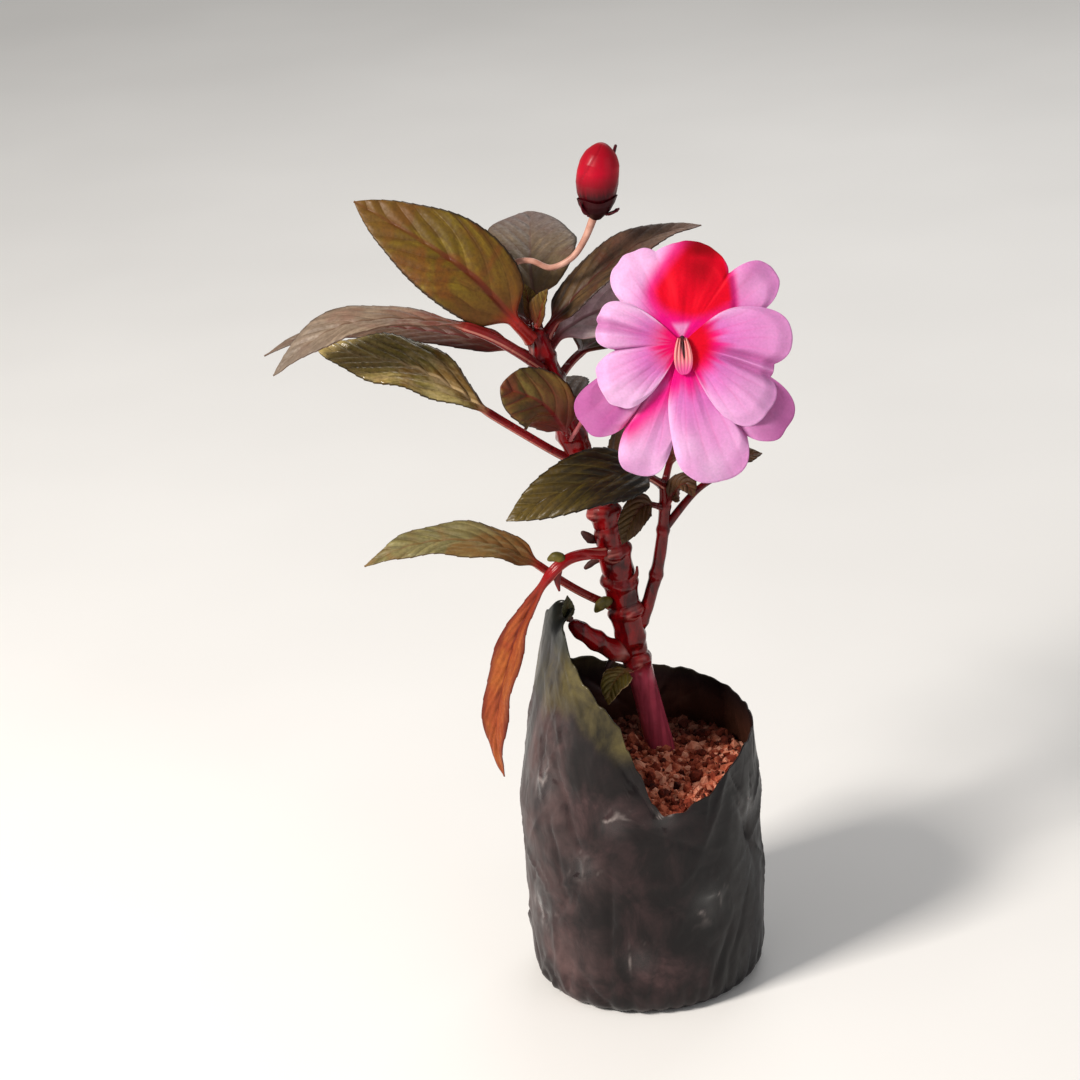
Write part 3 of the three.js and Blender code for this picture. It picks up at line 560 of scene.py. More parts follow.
old_stub = fleshy_material("dried dark flower stub", "#1c0b0a", "#43201a", 0.6)
olive_bud = fleshy_material("olive resting bud", "#33300f", "#665a20", 0.5)
red_bud = fleshy_material("maroon resting bud", "#3a0a0c", "#7a1c1c", 0.45)
STUBS = dict(
    stub_upper_left=(old_stub, [[-5, 0, 139.5], [-8.5, -1, 140.8], [-10.6, -1.5, 142.8], [-12.4, -1.5, 144.6]],
                     [0.6, 0.45, 0.5, 1.5, 1.2, 0.5]),
    stub_right=(red_bud, [[0.5, -1, 127.5], [2.8, -1.5, 129.5], [3.3, -1.5, 132.6]], [1.0, 0.7, 0.3]),
    bud_left=(olive_bud, [[-4.5, -2, 122.5], [-7.5, -2.5, 121.7], [-10, -3, 119.2]], [1.0, 1.8, 1.6, 0.5]),
    stub_left=(old_stub, [[-6.8, 0.5, 134.8], [-9.5, 0, 134], [-12.3, -0.5, 132.2]], [0.8, 0.9, 1.0, 0.5]),
    bud_on_stalk=(olive_bud, [[-17.3, -12.4, 139.6], [-19.8, -12.4, 141.6], [-22.6, -12, 140.6]], [0.8, 1.7, 1.4, 0.5]),
    bud_under_stalk=(red_bud, [[-19.4, -13, 138.6], [-20.1, -13.2, 135], [-19.7, -13, 130.9]], [1.3, 1.2, 0.8, 0.3]),
    bud_back=(red_bud, [[-4, 3, 131], [-3.4, 7, 133], [-3.8, 9, 136]], [1.0, 1.4, 0.6]),
    stub_low=(old_stub, [[-3.5, 2, 103.5], [-6.6, -1, 101.6], [-8.4, -3, 98.8]], [0.9, 1.1, 0.8, 0.4]),
)
for name, (finish, path, radii) in STUBS.items():
    settle(make_skin(name, rod_rings(path, radii, steps=36, sides=16)), finish, "stem")
print(len(STUBS), "stubs and buds")

# %% [markdown]
# ## Leaves
#
# A busy lizzie leaf is a long pointed blade on a fleshy stalk. Its edge has small teeth that lean towards the
# tip. The midrib and the side veins lie in furrows, and the tissue between two veins swells up, so the blade looks
# quilted. One leaf could be a flat mesh bent by a Curve modifier. Here it is a ring of points carried along the
# midrib: round on the stalk, and opened out into two thin layers on the blade, upper and lower. That keeps stalk
# and blade one closed skin, as they are on the plant.
#
# Three measures are kept at each point: how far it is along the blade, how far from the midrib, and its share of
# the half width. The finish draws the veins from them, so the drawn veins lie in the modelled furrows.

# %% Leaf paths
LEAF_BASIS = dict(fold=8, thick=1.25, taper_base=0.7, taper_tip=0.95, pitch=7, teeth=15, wave=0.5, waves=2.0, tooth=0.8,
                  quilt=0.05, lean=1.4, curl=0.3)
LEAVES = dict(
    leaf_top_left=dict(
        path=[[-20.4, 0, 201], [-26.6, -3.5, 210.2], [-37.5, -3, 224.3], [-51.9, 1, 235.1], [-70.4, 8, 245.8]],
        stalk=0.17, width=13, face=[-0.1, -0.75, 0.65], taper_base=0.63, pitch=8.8, teeth=22, wave=0.5, tooth=0.4,
        thick=1.8, lean=1.95, curl=0.25, quilt=0.045),
    leaf_top_back=dict(
        path=[[-20.3, 1, 201.5], [-21.3, 5, 212], [-22, 13.5, 220.3], [-22, 28, 224.6], [-21.6, 46.5, 228]],
        stalk=0.22, width=13.5, face=[0.08, -0.3, 0.95], taper_tip=0.7, wave=0.3, tooth=0.15, lean=1.3),
    leaf_top_right=dict(
        path=[[-20.5, 1, 202], [-13.1, 4, 211], [-3.1, 6, 219.8], [7.9, 8, 226.8], [17.9, 10, 230.2], [27.5, 12, 231]],
        stalk=0.1, width=9, face=[-0.35, -0.3, 0.9], fold=14, taper_base=0.6, teeth=20, wave=0.4, lean=2.2,
        thick=1.6),
    leaf_right=dict(
        path=[[-19.8, 0, 199], [-12, 6, 205], [0, 12, 208], [18, 18, 206.5], [39, 24, 202.5]],
        stalk=0.08, width=11, face=[0.05, -0.7, 0.7], taper_base=0.8, tooth=0.3, quilt=0.03),
    leaf_long_left=dict(
        path=[
            [-17.8, 0, 192], [-23.8, -5, 199.9], [-33.7, -9, 208.6], [-42.8, -10, 213.1], [-51.1, -10.5, 215.2],
            [-60.4, -11, 216.5], [-68.3, -12, 216.7], [-76.3, -12, 215.5], [-86, -13, 210.7], [-95.9, -14, 203]],
        stalk=0.34, width=7.5, face=[0, -0.25, 0.97], fold=10, taper_base=1.4, pitch=6.5, lean=2.2, thick=1.6),
    leaf_long_left_behind=dict(
        path=[
            [-18.6, 0, 194.9], [-25, 4, 198.4], [-32.6, 7, 200.9], [-42.1, 9, 203], [-53.7, 12, 204.7],
            [-67.1, 14, 206.1], [-80.7, 15, 205.9], [-92.4, 14.5, 203.2], [-101, 14, 199.4]],
        stalk=0.12, width=6.5, face=[0, -0.35, 0.93], fold=10, taper_base=0.6, taper_tip=1.1, pitch=6.5, lean=2.2),
    leaf_mid_left=dict(
        path=[
            [-10.6, 0, 165.5], [-17, -3, 169.6], [-27.2, -5, 177.6], [-37.1, -6, 185.4], [-44.5, -6, 191.9],
            [-51.7, -5.5, 196.9], [-60, -5, 200.8], [-68.4, -4, 202.8], [-76.9, -2, 204.3], [-84.9, 0, 205.9]],
        stalk=0.37, width=9.3, face=[0, -0.5, 0.87], fold=10, taper_base=1.1, pitch=7, teeth=22, wave=0.8, waves=3,
        quilt=0.1, lean=2.4, curl=0.2),
    leaf_small_round=dict(
        path=[[-12.8, 0, 172], [-15.4, -8, 179.7], [-21.1, -14, 189.9], [-32, -18, 196.8]],
        stalk=0.25, width=9, face=[-0.3, -0.75, 0.6], fold=6, taper_tip=0.57, pitch=6, teeth=10, wave=0.7),
    leaf_drooping=dict(
        path=[[12.4, 1, 156.5], [5.1, -10, 165], [-6.1, -18, 167.4], [-18.1, -22, 165], [-33.1, -24, 158.5]],
        stalk=0.16, width=9.5, face=[-0.2, -0.7, 0.7], pitch=6.5, wave=0.6, quilt=0.08, lean=2.0),
    leaf_under=dict(
        path=[[12, 1, 149.5], [6.6, -6, 153.5], [2.9, -8.5, 150.4], [-0.7, -9, 142.9]],
        stalk=0.25, width=4.2, face=[-0.2, -0.85, 0.5], thick=0.9, pitch=2.6, teeth=8, wave=0.4),
    leaf_narrow_low=dict(
        path=[
            [-1, 2, 117], [-10.1, 0, 122.5], [-18.1, -3, 129.2], [-28.1, -4, 137.9], [-34.8, -5, 142.7],
            [-43.3, -6, 145.6], [-54.2, -6, 146.3], [-65, -7, 144.9], [-75.9, -8, 140.5]],
        stalk=0.36, width=6.2, face=[-0.1, -0.5, 0.85], fold=10, pitch=6, wave=0.7, waves=3, lean=2.2),
    leaf_dying=dict(
        path=[
            [-3.2, 1, 136.4], [-13.1, -9, 140.2], [-18.7, -13, 139.5], [-23.9, -13.5, 134.1], [-28.8, -13, 125.7],
            [-33, -12, 117.7], [-36.3, -11, 107.6], [-39.2, -9.5, 97.3], [-41.2, -8, 86.7], [-41.5, -6.5, 77.2],
            [-40.3, -5, 68.2]],
        stalk=0.26, width=5.5, face=[-0.6, -0.75, 0.2], fold=20, thick=1.7, taper_base=1.1, pitch=7, wave=0.8, waves=3,
        teeth=12, lean=4.0, quilt=0.03),
    leaf_by_rim=dict(
        path=[[1.6, 5, 97.2], [-3.2, -4, 99.2], [-6.2, -9, 97.9], [-7.7, -12, 93.2]],
        stalk=0.3, width=4, face=[-0.2, -0.85, 0.5], thick=0.9, pitch=2.6, teeth=7, wave=0.5),
    leaf_back_left=dict(
        path=[[-20.2, 0, 200], [-25, 13, 206], [-36, 29, 210], [-50, 48, 208]],
        stalk=0.22, width=12, face=[0, -0.1, 1], fold=10),
    leaf_back_right=dict(
        path=[[-17.4, 0, 190], [-9, 12, 195], [7, 28, 198], [25, 46, 192]],
        stalk=0.22, width=12, face=[0, 0, 1], fold=10),
    leaf_back_middle=dict(
        path=[[-13.1, 0, 174], [-15, 13, 177], [-19, 33, 178], [-23, 54, 169]],
        stalk=0.26, width=11, face=[0, 0.1, 1], fold=10),
    leaf_back_low=dict(
        path=[[-6.4, 0, 153], [-2, 12, 158], [12, 30, 163], [30, 44, 158]],
        stalk=0.26, width=10, face=[0, 0, 1], fold=10),
    side_leaf_back=dict(
        path=[[12.4, 1, 155.9], [16.1, 9, 164], [22.3, 20, 168.7], [33, 31, 166]],
        stalk=0.15, width=8, face=[-0.2, -0.1, 1], fold=10, thick=1, pitch=4),
    side_leaf_right=dict(
        path=[[12.2, 1, 149.5], [15.5, -1.5, 155], [18.6, -4.5, 158.6], [21, -7, 155.5]],
        stalk=0.2, width=4, face=[0.2, -0.6, 0.75], fold=12, thick=0.9, pitch=2.6, teeth=7, wave=0.4),
    twig_leaf=dict(
        path=[[28.7, 6, 156.4], [31.8, 8, 158.5], [35.9, 11, 160], [42, 14, 159.4]],
        stalk=0.12, width=4, face=[0, -0.4, 0.9], fold=12, thick=0.7, pitch=2.6, teeth=7, wave=0.4),
    young_leaf_left=dict(
        path=[[-22.2, 1.3, 207.3], [-22.9, 2.6, 213], [-24, 2.6, 220]],
        stalk=0.1, width=3.4, face=[0.5, -0.7, 0.5], fold=30, thick=0.6, pitch=2.2, teeth=7, wave=0.2),
    young_leaf_right=dict(
        path=[[-21.4, -0.9, 207], [-19.4, -2, 213], [-17.2, -3.2, 219.8]],
        stalk=0.08, width=4.4, face=[-0.6, -0.6, 0.5], fold=30, thick=0.6, pitch=2.6, teeth=7, wave=0.2),
    shoot_leaf=dict(
        path=[[-17.2, -5, 117.3], [-17.9, -6.5, 121.5], [-17.6, -7.5, 127]],
        stalk=0.15, width=2.2, face=[0.3, -0.8, 0.5], fold=26, thick=0.9, pitch=2, teeth=6, wave=0.2),
)
PARENTS = dict(
    leaf_drooping=SIDE_STEM, leaf_under=SIDE_STEM, side_leaf_back=SIDE_STEM, side_leaf_right=SIDE_STEM,
    twig_leaf=SIDE_TWIG, shoot_leaf=LOWER_SHOOT,
)                           # the other leaves grow from the main stem
print(len(LEAVES), "leaves")

# %% Leaf shape
HALF_POINTS = 12            # points from the midrib to an edge
STALK_RINGS, BLADE_RINGS = 18, 150
SEARCHED = 0.4              # share of a path in which it leaves its stem
SUNK = 0.5                  # mm below the stem's surface at which a stalk starts


def outline(v, base, tip):
    """Half width at share v of the blade: v^base * (1 - v)^tip, divided by its own greatest value."""
    best = base / (base + tip)
    return v**base * (1 - v) ** tip / (best**base * (1 - best) ** tip)


def leave_stem(path, parent):
    """Share of the path at which it comes out of its parent stem: where its distance from the stem's line first is
    more than the stem's radius less SUNK."""
    shares = np.linspace(0, SEARCHED, 200)
    line = follow(path, shares)[0]
    u = np.linspace(0, 1, 300)
    axis = follow(parent["path"], u)[0]
    radius = np.interp(u, np.linspace(0, 1, len(parent["radii"])), parent["radii"])
    gap = (np.linalg.norm(line[:, None] - axis[None], axis=-1) - radius).min(1)
    return shares[np.argmax(gap > -SUNK)]


def leaf_rings(path, stalk, width, face, fold, thick, taper_base, taper_tip, pitch, teeth, wave, waves, tooth, quilt,
               lean, curl, start=0.0, seed=0):
    """Rings of a leaf and the marks at their points.

    At each share of the midrib, across = s * half width with s from 1 to -1 over the upper side and back below. The
    blade rises by |s| * sin(fold), swells between veins by sin^2, sinks along veins and midrib by exp(-(d/w)^2), and
    waves by |s|^2.5 * sin along its edges. A side vein that leaves the midrib at one place runs towards the tip by
    lean * a + curl * a^2 / width at a distance a from the midrib, and wanders a little. The edge has teeth: a slow
    rise and a sharp fall. On the stalk the same points lie on a circle, and one smoothstep opens the circle into the
    blade.
    """
    shares = np.concatenate([np.linspace(start, stalk, STALK_RINGS, endpoint=False),
                             stalk + (1 - stalk) * np.linspace(0, 1, BLADE_RINGS)])
    centre, along, length = follow(path, shares)
    side = unit(np.cross(along, np.array(face, float)))
    normal = np.cross(side, along)
    v = np.clip((shares - stalk) / (1 - stalk), 0, 1)[:, None]
    mm_along = ((shares - stalk) * length)[:, None]
    opened = smoothstep(v, 0, 0.12)

    t = np.linspace(1, -1, 2 * HALF_POINTS + 1)
    s = np.sign(t) * np.abs(t) ** 1.3
    half = np.maximum(width * outline(v, taper_base, taper_tip), 0.28)
    wobble = 1 + 0.05 * uneven(flat(9 * v, 3 * np.sign(t), seed), 1.3, seed)
    phase = v * teeth + 0.3 * np.sign(t) + 0.25 * uneven(flat(7 * v, 2 * np.sign(t)), 1, seed + 7)
    saw = (phase % 1) ** 1.6 * np.minimum(1, 6 * (1 - v)) * smoothstep(v, 0.05, 0.2)
    saw = saw * tooth * (0.06 * width**0.5 + 0.028 * width)
    reach = s * half * wobble + np.sign(t) * np.abs(s) ** 8 * saw
    a = np.abs(s * half)

    wander = 0.32 * pitch * uneven(flat(0.1 * mm_along, 0.13 * s * half, seed), 1, seed + 11)
    line = mm_along - lean * a - curl * a**2 / width + wander
    near = np.abs((line / pitch + 0.5) % 1 - 0.5) * pitch
    inner = smoothstep(1 - np.abs(s), 0.0, 0.22) * smoothstep(half, 0.8, 3)
    swell = np.sin(np.pi * near / pitch) ** 2 * quilt * pitch
    furrow = 0.14 * np.exp(-((near / 0.7) ** 2)) + 0.45 * np.exp(-((a / 0.6) ** 2)) * (1 - 0.6 * v)
    swing = wave * np.abs(s) ** 2.5 * np.sin(2 * np.pi * (waves * v + 0.23 * np.sign(t) + 0.17 * seed))
    uneven_rise = 0.6 * uneven(flat(0.06 * mm_along, 0.25 * s, seed), 0.8, seed + 3)
    rise = np.sqrt(s**2 + 0.004) * half * math.sin(math.radians(fold)) + inner * (swell - furrow)
    rise = rise + (swing + uneven_rise * np.abs(s)) * smoothstep(half, 0.5, 4)
    rise = rise - 0.06 * half * np.abs(s) ** 4
    thickness = (0.2 + 0.26 * (1 - s**2)) * np.minimum(1, half / 1.2)
    rib = 0.75 * np.exp(-((a / 0.8) ** 2)) * (1 - 0.75 * v) + 0.1 * np.exp(-((near / 0.5) ** 2)) * inner
    across = reach * math.cos(math.radians(fold))

    turn = np.pi * (1 - t) / 2 * 0.94 + 0.03 * np.pi
    base = thick * (1 + 0.35 * np.exp(-((shares - start)[:, None] * length / 1.6)))
    groove = 1 - 0.22 * np.exp(-(((turn - np.pi / 2) / 0.4) ** 2))
    sideways = base * np.cos(turn) * (1 - opened) + across * opened
    above = base * np.sin(turn) * groove * (1 - opened) + (rise + thickness / 2) * opened
    below = -base * np.sin(turn) * (1 - opened) + (rise - thickness / 2 - rib) * opened
    top, low = np.stack([sideways, above], -1), np.stack([sideways, below], -1)
    ring = np.concatenate([top, low[:, ::-1]], 1)
    rings = centre[:, None] + ring[..., :1] * side[:, None] + ring[..., 1:] * normal[:, None]

    both = lambda x: np.concatenate([x, x[:, ::-1]], 1)
    place = flat(mm_along, s * half, np.abs(s))
    upper = np.concatenate([0 * a + 1, 0 * a], 1)
    return rings, {"leaf": both(place), "kind": flat(v, upper, opened), "line": both(line)}


print("half way along a blade:", round(outline(0.5, 0.7, 0.95), 2), "of its width")

# %% [markdown]
# ### The finish of the leaves
#
# A leaf is living tissue under a thin wax: green below, stained bronze, olive or purple-brown by the same red as
# the stem. It was grown, and the eye gets a soft satin gloss, a paler fishbone of veins, a midrib in its own
# colour, a thin dark edge, and a matt, redder underside. One function draws them from the marks: the distance
# from the nearest side vein is a back-and-forth count of the same line mark that shaped the furrows. Painted
# shade darkens the tissue beside the veins, and clouds stretched along that mark paint some swells between two
# veins lighter, as painted light that they catch.

# %% Leaf finish
LIT, SPECKED, STALK_SHADE = 1.6, 0.7, 0.55      # light of the swells, the specks and the stalk's clouds
# colour of the painted highlight along both sides of each leaf stalk
STALK_PAINTED_HIGHLIGHT = "#cc8676"


def leaf_material(name, blade, shade, vein, midrib, edge, under, stalk, pitch, base=None, tip=None, blush=None,
                  veins=0.2, streaks=0.3, rough=(0.4, 0.6), midrib_mm=0.85, edge_from=0.93, base_to=0.5,
                  beside_most=0.8, glow=None, relief=0.5):
    """A waxy leaf. Colours: blade and its shade beside the veins, veins, midrib, edge, underside and stalk. base and
    tip are colours that the two ends of the blade turn to, and blush lies on it in patches. glow is the colour of
    the swells that catch the light, and relief is how deep the vein lines are."""
    material, tree = start_material(name)
    mm = add(tree, "SeparateXYZ", [add(tree, "Attribute", attribute_name="leaf").outputs["Vector"]])
    along, across, share = mm.outputs
    kind = add(tree, "SeparateXYZ", [add(tree, "Attribute", attribute_name="kind").outputs["Vector"]])
    v, upper, opened = kind.outputs
    place = add(tree, "TexCoord").outputs["Object"]
    off = add(tree, "Math", [across], operation="ABSOLUTE")
    line = add(tree, "Attribute", attribute_name="line").outputs["Fac"]
    near = add(tree, "Math", [line, pitch / 2], operation="PINGPONG")
    inside = add(tree, "MapRange", [share, 1.0, 0.5], **EASED)
    fine_vein = add(tree, "MapRange", [near, 0.8, 0.1], **EASED)
    on_vein = add(tree, "Math", [fine_vein, inside], **TIMES)
    on_vein = add(tree, "Math", [on_vein, veins], **TIMES)
    beside = add(tree, "MapRange", [near, 0.4 * pitch, 0.0, 0.0, beside_most], **EASED)
    narrow = add(tree, "MapRange", [v, 0.0, 1.0, midrib_mm, 0.3 * midrib_mm])
    on_rib = add(tree, "MapRange", [add(tree, "Math", [off, narrow], operation="DIVIDE"), 1.0, 0.35], **EASED)
    on_rib = add(tree, "Math", [on_rib, add(tree, "MapRange", [v, 0.25, 0.9, 0.95, 0.25])], **TIMES)

    cloud = add(tree, "TexNoise", {"Vector": place, "Scale": per_metre(11), "Detail": 3.0})
    mottle = add(tree, "MapRange", [cloud, 0.34, 0.66], **EASED)
    # shaded: darker clouds at random, and painted shade in the furrows beside the veins
    shaded = add(tree, "Math", [add(tree, "Math", [mottle, 0.45], **TIMES), beside], operation="MAXIMUM")
    bands = add(tree, "CombineXYZ", [add(tree, "Math", [line, 1 / pitch], **TIMES),
                                     add(tree, "Math", [across, 0.12], **TIMES), v])
    band = add(tree, "TexNoise", {"Vector": bands, "Scale": 1.7, "Detail": 3.0, "Distortion": 0.3})
    # lit is painted light: some swells between veins take the glow colour, as if they caught the light
    lit = add(tree, "MapRange", [band, 0.44, 0.68, 0.0, 0.8], **EASED)
    layers = [(shaded, shade), (lit, glow or deeper(blade, LIT))]
    if blush:
        patch = add(tree, "TexNoise", {"Vector": place, "Scale": per_metre(13), "Detail": 2.0, "Distortion": 0.8})
        patch = add(tree, "MapRange", [patch, 0.45, 0.62, 0.0, 0.75], **EASED)
        layers.append((patch, blush))
    if base:
        layers.append((add(tree, "MapRange", [v, base_to, 0.0], **EASED), base))
    if tip:
        layers.append((add(tree, "MapRange", [v, 0.45, 1.0], **EASED), tip))
    squeezed = add(tree, "CombineXYZ", [add(tree, "Math", [along, 0.09], **TIMES), across, v])
    long_noise = add(tree, "TexNoise", {"Vector": squeezed, "Scale": 0.8, "Detail": 3.0})
    on_streak = add(tree, "Math", [add(tree, "MapRange", [long_noise, 0.48, 0.7]), streaks], **TIMES)
    cells = add(tree, "TexNoise", {"Vector": place, "Scale": per_metre(1.1), "Detail": 3.0, "Roughness": 0.6})
    speck = add(tree, "MapRange", [cells, 0.42, 0.72, 0.0, 0.45])
    on_edge = add(tree, "MapRange", [share, edge_from, 0.985, 0.0, 0.85], **EASED)
    layers += [(on_streak, vein), (speck, deeper(shade, SPECKED)), (on_vein, vein), (on_rib, midrib), (on_edge, edge)]

    # the upper side, the underside and the stalk are each a colour with layers over it
    # painted highlight: a pale line along the stalk's sides
    ridge = add(tree, "MapRange", [share, 0.86, 0.97, 0.0, 0.6], **EASED)
    under_layers = [(add(tree, "Math", [on_vein, 0.8], **TIMES), vein), (on_rib, midrib)]
    stalk_layers = [(mottle, deeper(stalk, STALK_SHADE)), (ridge, STALK_PAINTED_HIGHLIGHT)]
    painted = []
    for colour, over_it in ((blade, layers), (under, under_layers), (stalk, stalk_layers)):
        for amount, over in over_it:
            colour = add(tree, "Mix", [amount, colour, over], data_type="RGBA")
        painted.append(colour)
    top, low, rod = painted
    colour = add(tree, "Mix", [upper, low, top], data_type="RGBA")
    colour = add(tree, "Mix", [opened, rod, colour], data_type="RGBA")

    fine = add(tree, "TexVoronoi", {"Vector": place, "Scale": per_metre(0.8)}, feature="SMOOTH_F1")
    bump = add(tree, "Bump", {"Strength": 0.35, "Distance": 0.12 * MM, "Height": fine.outputs["Distance"]})
    vein_bump = add(tree, "Bump", {"Strength": relief, "Distance": 0.25 * MM, "Height": fine_vein, "Normal": bump},
                    invert=True)
    gloss = add(tree, "MapRange", [cells, 0.3, 0.7, *rough])
    gloss = add(tree, "Mix", {"Factor": opened, "A": 0.24, "B": gloss}, data_type="FLOAT")
    skin = add(tree, "BsdfPrincipled", {
        "Base Color": colour, "Roughness": gloss, "IOR": 1.45, "Specular IOR Level": 0.3, "Normal": vein_bump,
    })
    add(tree, "OutputMaterial", [skin])
    return material


print("a leaf that names no glow has swells of", LIT, "times its light")

# %% [markdown]
# ### A colour for each leaf
#
# No two leaves here have one colour. Those in full light are olive or purple-brown, shaded ones are darker, and the
# dying one has lost its green. So each has its own row of colours, and leaves hardly seen share a row of bronze.

# %% Leaf colours
BRONZE = dict(
    blade="#4c3218", shade="#33200e", vein="#6c4a30", midrib="#64241c", edge="#22140e", under="#552c24",
    stalk="#74161a")
YOUNG = dict(
    blade="#5c4a14", shade="#3c2c0c", vein="#6a4a24", midrib="#6a1c10", edge="#241410", under="#5a3020",
    stalk="#8a1c18", base="#5a140c", base_to=0.9, blush="#6a3414", glow="#7c6a24")
LEAF_LOOKS = dict(
    leaf_top_left=dict(
        blade="#65520c", shade="#493208", vein="#5a3a14", midrib="#5c200c", edge="#26201c", under="#664030",
        stalk="#a8261e", base="#623a10", tip="#6a4a1c", blush="#6e3c14", glow="#85701f", midrib_mm=1.7, veins=0.12,
        relief=0.25),
    leaf_top_back=dict(
        blade="#6d5c44", shade="#54402e", vein="#76655a", midrib="#5c4032", edge="#463a30", under="#644436",
        stalk="#641a18", base="#604c2c", tip="#70605c", blush="#644634", veins=0.12, edge_from=0.97, relief=0.25),
    leaf_top_right=dict(
        blade="#3c2811", shade="#25160a", vein="#584030", midrib="#42180f", edge="#1e110c", under="#42201a",
        stalk="#7c161a", tip="#80695e", blush="#4a2212", glow="#5c4426", streaks=0.5, veins=0.15, relief=0.3),
    # painted light: this leaf's upper side is painted far paler than leaf tissue, to make up for the flower's shadow
    # and stand for a silvery sheen
    leaf_right=dict(
        blade="#d6c4c2", shade="#bca6a4", vein="#dacac8", midrib="#a88a8a", edge="#c8a4a4", under="#846868",
        stalk="#7c2426", blush="#c4acb2", glow="#efe6e4", veins=0.15),
    leaf_long_left=dict(
        blade="#826f5e", shade="#67533f", vein="#988672", midrib="#5c3c28", edge="#4a3628", under="#6a4230",
        stalk="#861c1c", base="#6e1f1b", tip="#776a5e", blush="#7c5848", streaks=0.6, veins=0.1, relief=0.3),
    leaf_long_left_behind=dict(
        blade="#5c4434", shade="#463024", vein="#7c6656", midrib="#5e2420", edge="#2c1816", under="#4c1e1a",
        stalk="#6c171b", base="#5a1013", tip="#766658", blush="#642c22", streaks=0.5, veins=0.1, relief=0.3),
    # painted light: the paler tip makes up for the long left leaf's shadow, and the glow paints highlights on the
    # swells
    leaf_mid_left=dict(
        blade="#84763a", shade="#463a16", vein="#b09a70", midrib="#b89e74", edge="#241a0c", under="#544026",
        stalk="#7c1418", tip="#a8955e", blush="#745024", glow="#bca86c", streaks=0.6, veins=0.2, rough=(0.1, 0.28)),
    leaf_small_round=dict(
        blade="#5a4a1c", shade="#3e2c12", vein="#6c2818", midrib="#700e0c", edge="#20120c", under="#5a2418",
        stalk="#7a1418", base="#5c1108", blush="#6a2c18", glow="#76642c", veins=0.35, base_to=0.85, midrib_mm=1.1),
    leaf_drooping=dict(
        blade="#2e2208", shade="#191104", vein="#6e5a2a", midrib="#2c1e0a", edge="#140d08", under="#3c2814",
        stalk="#5c1214", base="#080503", base_to=1.0, tip="#5c4c20", blush="#341e08", glow="#564818", streaks=0.25,
        veins=0.12, rough=(0.28, 0.5)),
    leaf_under=dict(
        blade="#46310f", shade="#2c1c09", vein="#5e431c", midrib="#46200e", edge="#1a100a", under="#3e2612",
        stalk="#541214", blush="#40200c"),
    leaf_narrow_low=dict(
        blade="#746c42", shade="#584f2e", vein="#948a62", midrib="#704e28", edge="#46321a", under="#6a4c28",
        stalk="#841c18", base="#744218", blush="#7a5428", streaks=0.5, veins=0.1, relief=0.3),
    leaf_dying=dict(
        blade="#a4551e", shade="#8e4216", vein="#6e2412", midrib="#6a200e", edge="#5a1408", under="#82361a",
        stalk="#981216", base="#801c12", blush="#943a18", glow="#b4662a", streaks=0.8, veins=0.0, edge_from=0.6,
        midrib_mm=0.6, beside_most=0.0, relief=0.0),
    young_leaf_right=YOUNG,
    young_leaf_left=YOUNG,
    shoot_leaf=dict(
        blade="#38361f", shade="#201f10", vein="#4c4a30", midrib="#4a3a20", edge="#15140b", under="#2c2a18",
        stalk="#4a1414"),
    leaf_by_rim=dict(
        blade="#584c14", shade="#3a300d", vein="#8a7a42", midrib="#705228", edge="#b49468", under="#5c4620",
        stalk="#74402a", blush="#5e4418"),
)
FALLBACK_SLOT = "bronze_leaf"
LEAF_SLOTS = dict(
    leaf_top_left="olive_leaf", leaf_narrow_low="olive_leaf", leaf_by_rim="olive_leaf",
    leaf_mid_left="green_leaf", leaf_drooping="green_leaf", leaf_dying="dying_leaf",
)
print(len(LEAF_LOOKS), "leaves have colours of their own")

# %% Grow the leaves
leaf_faces = 0
for number, (node, leaf) in enumerate(LEAVES.items()):
    shape = {**LEAF_BASIS, **leaf}
    shape["start"] = leave_stem(shape["path"], PARENTS.get(node, MAIN_STEM))
    rings, marks = leaf_rings(**shape, seed=number)
    piece = make_skin(node + "_skin", rings, marks)
    look = LEAF_LOOKS.get(node, BRONZE)
    finish = leaf_material("waxy leaf of " + node, **look, pitch=shape["pitch"])
    settle(piece, finish, LEAF_SLOTS.get(node, FALLBACK_SLOT), node)
    leaf_faces += len(piece.data.polygons)
print("leaves:", leaf_faces, "faces in all")

# %% [markdown]
# ## The flower
#
# The flower has five petals: a broad standard at the top, a pair at the sides and a pair below, each notched into
# lobes. It is almost flat and faces the viewer. A petal is laid out round the throat: one number is the direction
# and the other the distance, from the throat to the longest lobe in that direction. Each lobe swells a little, a
# crease runs from each notch to the throat, and the edges ripple and bend back. The petals overlap in layers.

# %% Petal shape
FLOWER_CENTRE = np.array([19.6, -18, 206.3])
FLOWER_TILT = math.radians(70.7)
PETAL_START, PETAL_SHORTEST, PETAL_REACH, PETAL_RECURVE = 1.7, 4.2, 40, 3
PETAL_COLUMNS, PETAL_ROWS = 200, 60
CREASE_X, CREASE_Y, CREASE_BEND = 15, 12, 0.01      # mm from the throat, and how fast the crease bends away
PETALS = dict(
    petal_standard=dict(layer=0, lobes=[[119, 29.2, 30], [82, 28.4, 42], [35, 32.6, 22]], crease=True),
    petal_left=dict(layer=1, lobes=[[156, 24.8, 18], [170, 24.3, 17], [208, 26.2, 32]], spread=(5, 0)),
    petal_right=dict(layer=1, lobes=[[0, 30.6, 26], [-20, 26.5, 15], [-43, 31, 28]], spread=(0, 13)),
    petal_lower_left=dict(layer=-1, lobes=[[247, 39.5, 18.5], [216, 36.5, 22]], spread=(0, 8)),
    petal_lower_right=dict(layer=0, lobes=[[-77.5, 40.3, 26.5], [-43, 38.2, 23]], spread=(6, 0)),
)


